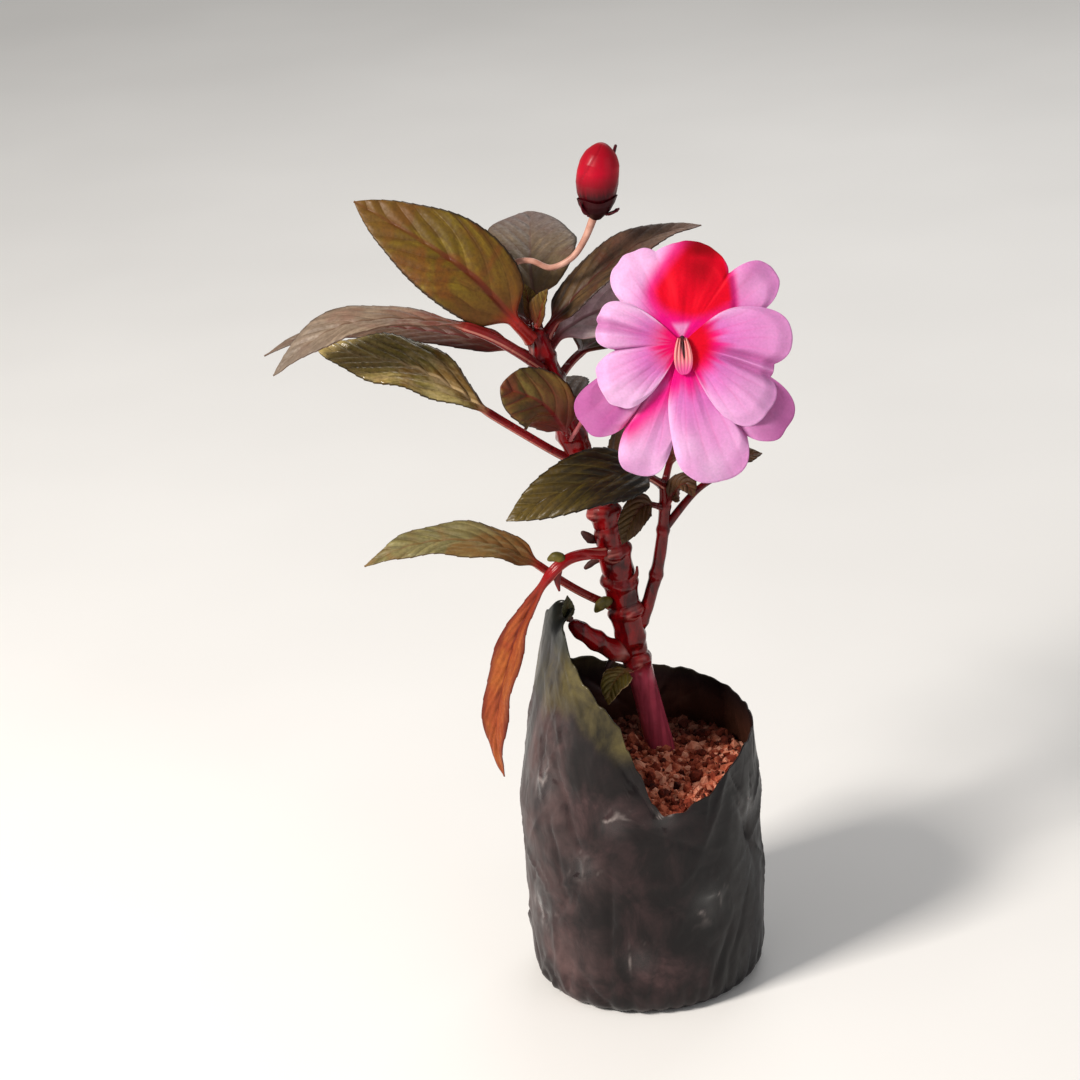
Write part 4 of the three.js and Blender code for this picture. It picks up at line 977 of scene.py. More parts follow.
def to_flower(points):
    """Turns points from the flower's own frame, which faces +Z, to the plant: a turn about X, then a move."""
    x, y, z = points[..., 0], points[..., 1], points[..., 2]
    c, s = math.cos(FLOWER_TILT), math.sin(FLOWER_TILT)
    return np.stack([x, y * c - z * s, y * s + z * c], -1) + FLOWER_CENTRE


def past_crease(x, y):
    """How far a place lies right of the standard's crease, the curve x = 15 - 0.01 (y - 12)^2."""
    return x - CREASE_X + CREASE_BEND * (y - CREASE_Y) ** 2


def petal_grid(layer, lobes, seed, spread=(0, 0), crease=False):
    """Points of a petal's upper side over direction and distance, with direction and distance themselves.

    The reach in a direction is the longest of length * sqrt(1 - x^3) over the lobes, where x is the angle from the
    lobe's middle over half its angle. Height is layer step - recurve * (r / 40)^2, plus a swell over each lobe, less
    a crease where the longest lobe changes, plus ripples that grow outwards. Near the throat the petal is wider than
    its direction range by the two spread angles, so that it tucks under or over its neighbours. The standard's
    middle lobe has a raised edge at its right, along the crease.
    """
    low = min(d - w for d, _, w in lobes)
    high = max(d + w for d, _, w in lobes)
    t = np.linspace(0, 1, PETAL_COLUMNS)
    degrees = low + (high - low) * (t - 0.09 * np.sin(2 * np.pi * t))
    x = np.array([np.minimum(1, np.abs(degrees - d) / w) for d, _, w in lobes])
    reaches = np.array([length for _, length, _ in lobes])[:, None] * np.sqrt(1 - x**3)
    reach = np.maximum(PETAL_SHORTEST, reaches.max(0))
    reach = reach + smoothstep(reach, 8, 20) * 0.45 * uneven(flat(degrees / 6, seed), 1, seed)
    two = np.sort(reaches, axis=0)[-2:]
    close = np.exp(-(((two[1] - two[0]) / 3.5) ** 2)) * smoothstep(two[0], 6, 14) * (0.12 if crease else 1)
    k = np.linspace(0, 1, PETAL_ROWS)
    k = k + 0.1 * np.sin(np.pi * k) ** 2
    r = PETAL_START + (reach[:, None] - PETAL_START) * k
    wider = (t**3 * spread[1] - (1 - t) ** 3 * spread[0])[:, None] * (1 - smoothstep(r, 12, 30))
    angle = np.radians(degrees[:, None] + wider)
    out = r / PETAL_REACH
    share = (r - PETAL_START) / (reach[:, None] - PETAL_START)
    middle = (0.55 + 0.35 * np.cos(np.radians(degrees - 84) * 1.6) if crease else 1 - x.min(0))[:, None]
    step = layer * (0.9 + 1.1 * smoothstep(r, 5, 22))
    ripple = 1.1 * out**2 * np.sin(np.radians(degrees)[:, None] * 9 + seed)
    ripple = ripple + 0.6 * out * uneven(flat(degrees[:, None] / 9, r / 6), 1, seed + 4)
    pleat = degrees[:, None] * 22 + 90 * uneven(flat(r / 11, degrees[:, None] / 15), 1, seed)
    pleat = np.abs(np.sin(np.radians(pleat)))
    ripple = ripple + (0.04 if crease else 0.1) * pleat * smoothstep(r, 6, 14)
    z = step - PETAL_RECURVE * out**2 + 5.2 * out * (1 - out) * (middle - 0.45) * smoothstep(r, 5, 14)
    z = z - 2.0 * close[:, None] * smoothstep(r, 5, 20) + ripple - 1.0 * smoothstep(share, 0.84, 1.0)
    x, y = r * np.cos(angle), r * np.sin(angle)
    if crease:
        past = past_crease(x, y)
        z = z + 0.2 * np.exp(-((np.minimum(past, 0) / 2.5) ** 2)) * smoothstep(-past, -0.9, 0.9)
        z = z - 0.45 * np.exp(-((np.maximum(past, 0) / 2.5) ** 2)) * smoothstep(past, -0.9, 0.9)
    return np.stack([x, y, z], -1), angle, r, share, close[:, None] + 0 * r


def plate(top, thickness):
    """Closed skin round a grid: the grid above, the same grid lower by the thickness, and a rim of quads."""
    rows, columns = top.shape[:2]
    low = top - np.stack([0 * thickness, 0 * thickness, thickness], -1)
    index = np.arange(rows * columns).reshape(rows, columns)
    under = index + rows * columns
    cell = lambda i: np.stack([i[:-1, :-1], i[1:, :-1], i[1:, 1:], i[:-1, 1:]], -1).reshape(-1, 4)
    border = np.concatenate([index[0, :-1], index[:-1, -1], index[-1, :0:-1], index[:0:-1, 0]])
    ahead = np.roll(border, -1)
    rim = np.stack([border, ahead, ahead + rows * columns, border + rows * columns], -1)
    quads = np.vstack([cell(index), cell(under)[:, ::-1], rim])
    return np.vstack([top.reshape(-1, 3), low.reshape(-1, 3)]), quads


def twice(mark):
    """A grid's mark, in a row for the points above and once more for those below."""
    return np.concatenate([mark, mark]).reshape(-1, *mark.shape[2:])


print("the flower's middle is at", to_flower(np.zeros(3)).round(1), "mm")

# %% [markdown]
# ### The colours of the flower
#
# The petals are lilac pink, paler towards the tips. Round the throat they turn magenta, and the standard carries
# a broad blotch that goes from hot pink at its edge to pure red. These zones belong to places on the flower and
# don't repeat, so they are worked out at each point and kept as marks, and the finish only mixes colours by them.

# %% Petal marks
BLOTCH_X, BLOTCH_Y, BLOTCH_LEAN = 3, 15, 0.38       # mm from the throat, and mm to the right for each mm up
BLOTCH_LEFT, BLOTCH_RIGHT, BLOTCH_BELOW, BLOTCH_ABOVE = 12.5, 17, 10.5, 18      # mm: its reach to each side
RED_BASE = dict(petal_right=1.0, petal_left=0.45, petal_lower_right=0.2)        # how red the base of a petal is
MAGENTA_FADE = dict(    # mm from the throat between which magenta fades out
    petal_standard=(8, 16), petal_left=(4, 9), petal_right=(7.5, 14), petal_lower_left=(9, 19),
    petal_lower_right=(10.5, 18))
STREAK_FROM, STREAK_TOWARDS = (-4.3, -11.6), math.radians(220.87)       # a magenta line on the lower left petal


def petal_marks(points, angle, r, share, close, node, seed):
    """Zones of colour, each a mark from 0 to 1.

    red is an egg on the standard, soft at its left and cut off at its right by the crease, and a patch at the base of
    the petals beside it. deep darkens the egg's upper right. magenta fades out with distance from the throat, and
    runs on as a halo round the egg and as a streak along the lower left petal. pale grows towards the tips, and fills
    a small wedge over the throat. shade is painted shade: the two outer lobes are mauve, as if the petals over them
    shaded them. vein is a fan of fine lines along the petal, and fold is painted shade along the creases between
    lobes.
    """
    x, y = points[..., 0], points[..., 1]
    turned = np.degrees(angle)
    standard = node == "petal_standard"
    across = x - BLOTCH_X - BLOTCH_LEAN * np.maximum(0, y - BLOTCH_Y)
    egg = np.hypot(across / np.where(across < 0, BLOTCH_LEFT, BLOTCH_RIGHT),
                   (y - BLOTCH_Y) / np.where(y < BLOTCH_Y, BLOTCH_BELOW, BLOTCH_ABOVE))
    egg = egg + 0.05 * uneven(flat(x, y), 5, 21)
    past = past_crease(x, y)
    crease = 1 - smoothstep(past, -1.3, 0.5)
    red = standard * (1 - smoothstep(egg, np.where((across < 0) | (y < 11), 0.6, 0.8), 1.0)) * crease
    deep = standard * crease * np.maximum(0.6 * np.exp(-(((x - 6.3) / 4.5) ** 2) - (((y - 20.5) / 5) ** 2)),
                                      0.85 * smoothstep(y, 21, 26) * smoothstep(x, 0, 6))
    red = np.maximum(red, RED_BASE.get(node, 0.0) * (1 - smoothstep(r, 6, 11.5)))
    wisp = 2.4 * uneven(flat(turned / 5, r / 14), 1, seed + 30)
    magenta = 1 - smoothstep(r + wisp, *MAGENTA_FADE[node])
    if node == "petal_lower_left":
        off = np.cos(STREAK_TOWARDS) * (y - STREAK_FROM[1]) - np.sin(STREAK_TOWARDS) * (x - STREAK_FROM[0])
        streak = np.exp(-(((off - 0.6) / np.where(off < 0.6, 2.2, 3.4)) ** 2)) * (1 - smoothstep(r, 27, 37))
        magenta = np.maximum(magenta, 0.95 * streak)
    halo = standard * (1 - smoothstep(egg, 0.85, 1.22)) * (0.12 + 0.88 * (1 - smoothstep(past, 0.3, 2.4)))
    magenta = np.maximum(magenta, 0.92 * halo)
    fan = turned + 1.5 * uneven(flat(r / 9, turned / 12), 1, seed + 9)
    lines = np.abs(np.sin(np.radians(fan * 22)))
    vein = (1 - smoothstep(lines, 0.0, 0.5)) * smoothstep(r, 5, 12) * (1 - smoothstep(share, 0.6, 0.98))
    fold = close * smoothstep(r, 6, 12)
    pale = smoothstep(share, 0.3, 0.9) * (0.85 + 0.3 * uneven(flat(x, y), 7, 40)) * (1 - 0.45 * smoothstep(x, 4, 22))
    wedge = standard * smoothstep(0.6 * (y - 1.2) - np.abs(x), -0.7, 0.7) * (1 - smoothstep(y, 4.6, 6.6))
    vein = vein * (1 - 0.8 * red)
    red, magenta, pale = red * (1 - wedge), magenta * (1 - 0.72 * wedge), np.maximum(pale, 0.7 * wedge)
    # painted shade: the outer lobes of the lower petals turn mauve, as if the petals over them shaded them
    outer = {"petal_lower_left": 1 - smoothstep(turned, 224, 232),
             "petal_lower_right": 0.6 * smoothstep(turned, -64, -52)}.get(node, 0 * r)
    return np.stack([red, magenta, pale], -1), np.stack([vein, fold, deep], -1), outer * (1 - 0.3 * pale)


print("20 mm up, the crease lies", round(-past_crease(0, 20), 1), "mm right of the throat")

# %% [markdown]
# ### The finish of the petals
#
# A petal is a thin wet sheet of cells. Each cell's outer wall is domed, which makes petals look velvety, and light
# passes in and comes out again a little way off. So the finish is almost matt, with a fine bump of cells, a faint
# sheen and some subsurface scattering.

# %% Petal finish


def petal_material(name, tip, body, magenta, red, deep, painted_shade_mauve):
    """A thin petal: body to tip by the pale mark, painted shade in mauve on the outer lobes, fine veins, painted
    shade in mauve in the folds, then magenta, red and deep red over it."""
    material, tree = start_material(name)
    zones = add(tree, "SeparateXYZ", [add(tree, "Attribute", attribute_name="zones").outputs["Vector"]])
    lines = add(tree, "SeparateXYZ", [add(tree, "Attribute", attribute_name="lines").outputs["Vector"]])
    place = add(tree, "TexCoord").outputs["Object"]
    on_red, on_magenta, on_tip = zones.outputs
    vein, fold, on_deep = lines.outputs
    on_painted_shade = add(tree, "Attribute", attribute_name="shade").outputs["Fac"]
    faint = add(tree, "Math", [vein, 0.11], **TIMES)
    fold_shade = add(tree, "Math", [fold, 0.5], **TIMES)
    colour = body
    for amount, over in ((on_tip, tip), (on_painted_shade, painted_shade_mauve), (faint, magenta), (fold_shade, painted_shade_mauve), (on_magenta, magenta),
                         (on_red, red), (on_deep, deep)):
        colour = add(tree, "Mix", [amount, colour, over], data_type="RGBA")
    cells = add(tree, "TexNoise", {"Vector": place, "Scale": per_metre(0.7), "Detail": 2.0})
    tone = add(tree, "MapRange", [cells, 0.3, 0.7, 0.93, 1.05])
    colour = add(tree, "VectorMath", {0: colour, "Scale": tone}, operation="SCALE")
    bump = add(tree, "Bump", {"Strength": 0.2, "Distance": 0.08 * MM, "Height": cells})
    vein_bump = add(tree, "Bump", {"Strength": 0.2, "Distance": 0.15 * MM, "Height": vein, "Normal": bump}, invert=True)
    skin = add(tree, "BsdfPrincipled", {
        "Base Color": colour, "Roughness": 0.55, "IOR": 1.4, "Specular IOR Level": 0.15, "Subsurface Weight": 0.2,
        "Subsurface Radius": (1.0, 0.5, 0.6), "Subsurface Scale": 0.8 * MM, "Sheen Weight": 0.04,
        "Sheen Roughness": 0.4, "Normal": vein_bump,
    })
    add(tree, "OutputMaterial", [skin])
    return material


petal_finish = petal_material("velvety two-tone petal", tip="#e4b0da", body="#cb6ab4", magenta="#da0a7c",
                              red="#d80022", deep="#780008", painted_shade_mauve="#a04086")
PETAL_THICKNESS = 0.32
for seed, (node, petal) in enumerate(PETALS.items()):
    top, angle, r, share, close = petal_grid(**petal, seed=seed)
    zones, lines, lobe_in_painted_shade = petal_marks(top, angle, r, share, close, node, seed)
    points, quads = plate(top, PETAL_THICKNESS * (1 - 0.5 * share**3))
    marks = {"zones": twice(zones), "lines": twice(lines), "shade": twice(lobe_in_painted_shade)}
    piece = make_piece(node + "_skin", to_flower(points), quads, np.zeros((0, 3), int), marks)
    settle(piece, petal_finish, "petal", node)
    print(node, "reaches", round(float(r.max()), 1), "mm,", len(piece.data.polygons), "faces")

# %% [markdown]
# ### The throat
#
# The five anthers are grown together into a small ribbed hood over the throat. Below it a short ribbed lip of
# salmon flesh leads down to the lower petals, and between the two a dark gap shows the inside of the spurred sepal.
# Down the middle of the lip, under the hood, painted shade carries that dark gap onto the lip.

# %% Column
COLUMN = dict(path=[[0, 0.6, -1.6], [0, 0.9, 0.2], [0, 1.1, 1.5], [0, 1.9, 3.0]], radii=[0.8, 0.8, 0.75, 0.4])
COLUMN_STEPS, COLUMN_SIDES = 50, 40
ANTHERS, ANTHER_DEPTH = 5, 0.14


def ribbed(centre, share, angle):
    """Lengthwise ribs, one for each anther: depth * cos(count * angle) * share, so none at the start."""
    return ANTHER_DEPTH * np.cos(ANTHERS * angle) * share[:, None]


column_rings = rod_rings(**COLUMN, steps=COLUMN_STEPS, sides=COLUMN_SIDES, guide=(1, 0, 0), wider=ribbed)
column_share = np.linspace(0, 1, COLUMN_STEPS)[:, None] * np.ones(COLUMN_SIDES)
column = make_skin("column_skin", to_flower(column_rings), {"share": column_share})
material, tree = start_material("pale fleshy anther hood")
share = add(tree, "Attribute", attribute_name="share").outputs["Fac"]
flesh = add(tree, "ValToRGB", [share], stops=[(0.0, "#7a1030"), (0.5, "#b8505c"), (0.78, "#641018"), (1.0, "#2c060a")])
skin = add(tree, "BsdfPrincipled", {"Base Color": flesh, "Roughness": 0.65, "Subsurface Weight": 0.15,
                                    "Subsurface Radius": (1.0, 0.5, 0.5), "Subsurface Scale": 0.6 * MM})
add(tree, "OutputMaterial", [skin])
settle(column, material, "column", "column")
print("column:", len(column.data.polygons), "faces")

# %% Lip
LIP_ROWS, LIP_COLUMNS, LIP_RIBS = 40, 48, 5
LIP_START, LIP_LENGTH, LIP_THICKNESS = 1.5, 10.3, 0.45
down, sideways = np.meshgrid(np.linspace(0, 1, LIP_ROWS), np.linspace(-1, 1, LIP_COLUMNS), indexing="ij")
ribs = np.cos(sideways * LIP_RIBS * np.pi + 1.2 * down)
# half width = a widening strip times a rounded end; height = a bow along, a hollow across and the ribs
lip_half = (2.0 + 1.2 * down) * np.sqrt(np.clip(1 - (down * 1.02 - 0.45) ** 2 / 0.34, 0.03, 1))
lip_rise = 1.75 + 0.9 * np.sin(np.pi * down) + (0.55 * sideways**2 + 0.3 * ribs) * (1 - down) - 0.4 * down
lip_top = np.stack([sideways * lip_half, LIP_START - LIP_LENGTH * down, lip_rise], -1)
lip_points, lip_quads = plate(lip_top, np.full(down.shape, LIP_THICKNESS))
# slot is painted shade: a dark band down the lip's middle under the hood, for the gap into the spur
slot = np.exp(-(((sideways - 0.05) / (0.26 - 0.2 * down)) ** 2)) * (1 - smoothstep(down, 0.4, 0.7))
dark = 0.6 * (0.5 - 0.5 * ribs) + 1.3 * slot
lip = make_piece("throat_lip", to_flower(lip_points), lip_quads, np.zeros((0, 3), int),
                 {"rib": twice(dark), "share": twice(down)})
material, tree = start_material("pale ribbed throat flesh")
rib = add(tree, "Attribute", attribute_name="rib").outputs["Fac"]
share = add(tree, "Attribute", attribute_name="share").outputs["Fac"]
stripes = add(tree, "ValToRGB", [rib], stops=[(0.2, "#e8928e"), (0.7, "#cc5468"), (1.0, "#3c060c")])
ending = add(tree, "MapRange", [share, 0.5, 0.95, 0.0, 0.85], **EASED)
colour = add(tree, "Mix", [ending, stripes, "#dc2a92"], data_type="RGBA")
skin = add(tree, "BsdfPrincipled", {"Base Color": colour, "Roughness": 0.45, "Subsurface Weight": 0.15,
                                    "Subsurface Radius": (1.0, 0.5, 0.5), "Subsurface Scale": 0.6 * MM})
add(tree, "OutputMaterial", [skin])
settle(lip, material, "column")
print("lip:", len(lip.data.polygons), "faces")

# %% [markdown]
# ### Behind the petals
#
# The spurred sepal is a small cup that narrows into a long thin spur, and the flower's stalk joins it from the
# stem. Two small side sepals lie against the cup.

# %% Spur, sepals and stalk
SPURRED_SEPAL = dict(
    path=[[0, 0, -2.8], [0, -0.6, -7], [-0.6, -2.6, -11], [-4.7, -5.6, -15.7], [-14.6, -10, -17.4],
          [-22.6, -13.1, -15.6], [-27.5, -17.8, -15.8], [-33.5, -26, -18.5]],
    radii=[4.4, 3.9, 2, 1.1, 0.9, 0.8, 0.7, 0.5],
)
FLOWER_STALK = dict(
    path=[[-12.8, 0.5, 172], [-8.5, 3, 176.5], [0, 4, 185], [9, 2, 195], [15.5, -4, 203], [19.6, -12.5, 205.5]],
    radii=[1.3, 1.1, 1, 1.1, 1.3],
)
sepal_finish = fleshy_material("waxy pink-brown sepal", "#8a3c44", "#b8686a")
stalk_finish = fleshy_material("waxy salmon stalk", "#a87564", "#cfa08e", 0.36)
spur_rings = rod_rings(**SPURRED_SEPAL, steps=140, sides=28, guide=(0.3, 1, 0.2))
settle(make_skin("spurred_sepal_skin", to_flower(spur_rings)), sepal_finish, "sepal", "spurred_sepal")
flower_stalk = make_skin("flower_stalk_skin", rod_rings(**FLOWER_STALK, steps=100, sides=20, guide=(0, 0, 1)))
settle(flower_stalk, stalk_finish, "stalk", "flower_stalk")
SIDE_SEPAL = dict(stalk=0.05, width=2.6, face=[0, 0, 1], fold=6, thick=0.7, pitch=2, teeth=5, wave=0.1)
for node, sign in (("sepal_left", -1), ("sepal_right", 1)):
    path = [[sign * 2, 3, -7], [sign * 3.8, 6.6, -6], [sign * 5.6, 10.8, -5.4]]
    rings = leaf_rings(**{**LEAF_BASIS, **SIDE_SEPAL}, path=path, start=0.05)[0]
    settle(make_skin(node + "_skin", to_flower(rings)), sepal_finish, "sepal", node)
print("spur is", round(follow(SPURRED_SEPAL["path"], [0])[2], 1), "mm long")

# %% [markdown]
# ## The bud
#
# The bud is the rolled petals of the next flower: an egg shape whose outer petal edges wind round it, held below
# by dark sepals with a spur that rises behind. A rod with a fat middle gives the egg, and a step in its radius
# that winds with height gives the overlapping edges. The finish is a dark crimson with a soft gloss.

# %% Bud
BUD = dict(path=[[-2, 3, 239.5], [-1.8, 3, 243], [-1.2, 3, 249], [-0.2, 3, 254.5], [0.8, 3, 259.6]],
           radii=[2.6, 4.6, 5.6, 6.05, 6.0, 5.6, 4.6, 2.6])
BUD_SEPAL = dict(path=[[-2.2, 3, 237.6], [-2, 3, 240], [-1.8, 3, 243], [-1.6, 3, 245.5]], radii=[1.4, 4.0, 5.2, 5.8])
BUD_SPUR = dict(path=[[-3, 4, 239.5], [-3, 8.5, 239], [-0.5, 11, 243], [2.4, 11, 250], [4.6, 9.6, 257]],
                radii=[1.2, 0.9, 0.7, 0.6, 0.45])
BUD_STALK = dict(
    path=[[-21, 0, 203.5], [-26.8, 2.5, 210], [-29.2, 5, 218.5], [-26.5, 5.5, 225], [-21.5, 4.5, 226], [-16, 3.3, 224],
          [-10, 3, 226.5], [-6, 3, 231.6], [-2.6, 3, 238.9]],
    radii=[1.1, 0.9, 0.85, 0.85, 0.85, 0.85, 0.9, 1, 1.2],
)
BUD_STEPS, BUD_SIDES = 120, 96
WRAPS, WRAP_STEP, WRAP_TURN = 3, 0.26, 1.5      # edges round the bud, mm, and radians that an edge turns on its way up


def past_edge(share, angle):
    """Share of the way from one petal edge to the next. The edges turn with height by WRAP_TURN * share."""
    return ((angle + WRAP_TURN * share[:, None]) / (2 * np.pi) * WRAPS) % 1


def wrapped(centre, share, angle):
    """Overlapping petal edges: the radius falls by a step at each edge, with a groove exp(-(p/0.06)^2) at its foot."""
    p = past_edge(share, angle)
    return WRAP_STEP * (0.5 - p) * np.sin(np.pi * share[:, None]) - 0.15 * np.exp(-((p / 0.06) ** 2))


seam = past_edge(np.linspace(0, 1, BUD_STEPS), np.linspace(0, 2 * np.pi, BUD_SIDES, endpoint=False))
bud = make_skin("bud_petals_skin", rod_rings(**BUD, steps=BUD_STEPS, sides=BUD_SIDES, wider=wrapped),
                {"seam": np.exp(-((seam / 0.1) ** 2))})
print("bud:", len(bud.data.polygons), "faces")

# %% Bud finishes
BUD_FOOT, BUD_TOP = 238.0, 260.0
BUD_REDS = [(0.05, "#200206"), (0.34, "#3a040a"), (0.46, "#780416"), (0.64, "#b00424"), (1.0, "#900416")]
material, tree = start_material("glossy crimson bud")
seam = add(tree, "Attribute", attribute_name="seam").outputs["Fac"]
place = add(tree, "TexCoord").outputs["Object"]
rise = add(tree, "MapRange", [add(tree, "SeparateXYZ", [place]).outputs["Z"], BUD_FOOT * MM, BUD_TOP * MM])
stretched = add(tree, "Mapping", {"Vector": place, "Scale": (1, 1, 0.2)})
streak = add(tree, "TexNoise", {"Vector": stretched, "Scale": per_metre(1.0), "Detail": 2.0})
# painted shade: the grooves at the petal edges are painted a darker red
seam_shade = add(tree, "Math", [seam, 0.35], **TIMES)
on_streak = add(tree, "MapRange", [streak, 0.5, 0.75, 0.0, 0.35])
red = add(tree, "ValToRGB", [rise], stops=BUD_REDS)
for amount, over in ((seam_shade, "#740418"), (on_streak, "#8c0a22")):
    red = add(tree, "Mix", [amount, red, over], data_type="RGBA")
bump = add(tree, "Bump", {"Strength": 0.15, "Distance": 0.1 * MM, "Height": streak})
skin = add(tree, "BsdfPrincipled", {
    "Base Color": red, "Roughness": 0.42, "Specular IOR Level": 0.12, "Coat Weight": 0.12, "Coat Roughness": 0.25,
    "Subsurface Weight": 0.1, "Subsurface Radius": (1.0, 0.1, 0.1), "Subsurface Scale": 0.8 * MM, "Normal": bump})
add(tree, "OutputMaterial", [skin])
settle(bud, material, "bud", "bud_petals")
cup_finish, tree = start_material("waxy maroon bud cup")
place = add(tree, "TexCoord").outputs["Object"]
rise = add(tree, "MapRange", [add(tree, "SeparateXYZ", [place]).outputs["Z"], BUD_FOOT * MM, BUD_TOP * MM])
cloud = add(tree, "TexNoise", {"Vector": place, "Scale": per_metre(2.5), "Detail": 3.0})
wandering = add(tree, "Math", [cloud, 0.12, add(tree, "Math", [rise, 0.06], operation="SUBTRACT")],
                operation="MULTIPLY_ADD")
red = add(tree, "ValToRGB", [wandering], stops=BUD_REDS)
skin = add(tree, "BsdfPrincipled", {"Base Color": red, "Roughness": 0.42, "Specular IOR Level": 0.15})
add(tree, "OutputMaterial", [skin])
bud_sepal_finish = fleshy_material("waxy dark maroon sepal", "#300610", "#5c0e1c", 0.35)
print("the bud has", len(BUD_REDS), "reds from foot to top")

# %% Bud sepals and stalk
CUP_STEPS, CUP_SIDES = 60, 72


def cup_rings(path, radii, thickness=0.22):
    """A cup round a line: outside rings up to the edge, then the same rings back down, closer in by the thickness.
    The edge is scalloped by 0.9 * |cos(1.5 angle)|^1.5: three lobes that reach 0.9 mm higher than the dips."""
    share = np.linspace(0, 1, CUP_STEPS)
    centre = follow(path, share)[0]
    angle = np.linspace(0, 2 * np.pi, CUP_SIDES, endpoint=False)
    radius = np.interp(share, np.linspace(0, 1, len(radii)), radii)[:, None]
    lift = 0.9 * (np.abs(np.cos(1.5 * angle + 0.6)) ** 1.5 - 2.2) * share[:, None] ** 2
    ring = lambda r: np.stack([centre[:, :1] + r * np.cos(angle), centre[:, 1:2] + r * np.sin(angle),
                               centre[:, 2:] + lift], -1)
    inner = ring(np.maximum(radius - thickness, 0.2)) + np.array([0, 0, thickness]) * (1 - share)[:, None, None]
    return np.concatenate([ring(radius), inner[::-1]])


cup = make_skin("bud_spurred_sepal_skin", cup_rings(**BUD_SEPAL))
settle(cup, cup_finish, "bud_sepal", "bud_spurred_sepal")
bud_spur = make_skin("bud_spur", rod_rings(**BUD_SPUR, steps=80, sides=20, guide=(1, 0, 0)))
settle(bud_spur, bud_sepal_finish, "bud_sepal")
BUD_SIDE_SEPALS = dict(
    bud_sepal_left=dict(path=[[-4.2, 1.2, 239.4], [-6.0, -0.4, 241.6], [-6.6, -1.4, 244.0]], face=[-1, -0.3, 0.4]),
    bud_sepal_right=dict(path=[[0.5, 1.5, 239.4], [2.9, 0.5, 240.2], [4.4, 0.2, 241.1]], face=[0.7, -0.3, 0.7]),
)
BUD_SEPAL_BASIS = dict(stalk=0.05, width=1.0, fold=6, thick=0.5, pitch=2, tooth=0, wave=0.1)
for node, sepal in BUD_SIDE_SEPALS.items():
    rings = leaf_rings(**{**LEAF_BASIS, **BUD_SEPAL_BASIS, **sepal})[0]
    settle(make_skin(node + "_skin", rings), bud_sepal_finish, "bud_sepal", node)
bud_stalk_shares = np.linspace(leave_stem(BUD_STALK["path"], MAIN_STEM), 1, 160)
bud_stalk = make_skin("bud_stalk_skin", rod_rings(**BUD_STALK, steps=160, sides=20, shares=bud_stalk_shares))
settle(bud_stalk, stalk_finish, "stalk", "bud_stalk")
print("bud cup:", len(cup.data.polygons), "faces; stalk:", len(bud_stalk.data.polygons), "faces")

# %% [markdown]
# ## The nursery bag
#
# The bag is a lay-flat tube of black polythene film, about a tenth of a millimetre thick, filled with damp soil.
# Where the soil presses it the film is round and taut with fine creases, and above the soil it stands free, leans
# in and buckles. A cloth simulation would need the soil's weight and a lucky result, so the film is drawn: a round
# wall whose radius changes with unevenness of several sizes and with straight folds, long and short. In a few
# places the film was pinched, and there it is crumpled finely. It is drawn thicker than it is, 0.4 mm, so that its
# edge shows.

# %% Film shape
BAG_RADIUS, BAG_SHOULDER = 36.0, 60.0
LEAN_ALL_ROUND, LEAN_EXTRA, LEAN_TOWARDS = 0.06, 0.15, -170.0
RIM = np.array([
    [-180, 120], [-162, 125.5], [-140, 119.5], [-126, 112], [-116, 107], [-107, 101.5], [-98, 96], [-95, 89], [-90, 82],
    [-84, 71], [-79, 67.5], [-70, 67.5], [-57, 71], [-41, 76], [-20, 79], [20, 81], [60, 83], [90, 84], [120, 90],
    [145, 101], [165, 113], [180, 120],
])
FILM_THICKNESS = 0.4
CRUMPLES = np.array([      # angle, height and reach of the places where the film was pinched
    [-143.7, 74.4, 5], [-103.6, 65.5, 4], [-79, 66.0, 3.5], [-120, 50, 4], [-60, 36, 5], [-150, 30, 5], [-95, 20, 4],
    [-158, 96, 5], [-30, 60, 4], [60, 60, 5], [120, 45, 5], [165, 75, 5], [10, 40, 5]])
CURL_TOWARDS, CURL_SPREAD, CURL_HEIGHTS = -156.0, 11.0, (112, 126)     # the high corner, which bends inwards
FILM_COLUMNS = 336
FOOT_TOP = 25.0
FOOT_LEVELS, WALL_LEVELS, FREE_LEVELS = 22, 34, 56


def rim_height(degrees):
    """Height of the film's edge, eased by 3t^2 - 2t^3 between the listed angles."""
    k = np.clip(np.searchsorted(RIM[:, 0], degrees), 1, len(RIM) - 1)
    low, high = RIM[k - 1], RIM[k]
    return low[:, 1] + (high[:, 1] - low[:, 1]) * smoothstep(degrees, low[:, 0], high[:, 0])


def wall_radius(degrees, z):
    """Radius without creases: 31 + 2.6 (1 - e^-z) + 2.4 (1 - e^(-z/7)) at the foot, less the free film's lean."""
    towards = np.maximum(0, np.cos(np.radians(degrees - LEAN_TOWARDS)))
    lean = (LEAN_ALL_ROUND + LEAN_EXTRA * towards**2) * np.maximum(0, z - BAG_SHOULDER)
    return 31 + 2.6 * (1 - np.exp(-z)) + 2.4 * (1 - np.exp(-z / 7)) - lean


def on_wall(turn, radius, z):
    """A place at an angle, a radius and a height: (r cos a, r sin a, z)."""
    return np.stack(np.broadcast_arrays(radius * np.cos(turn), radius * np.sin(turn), z), -1)


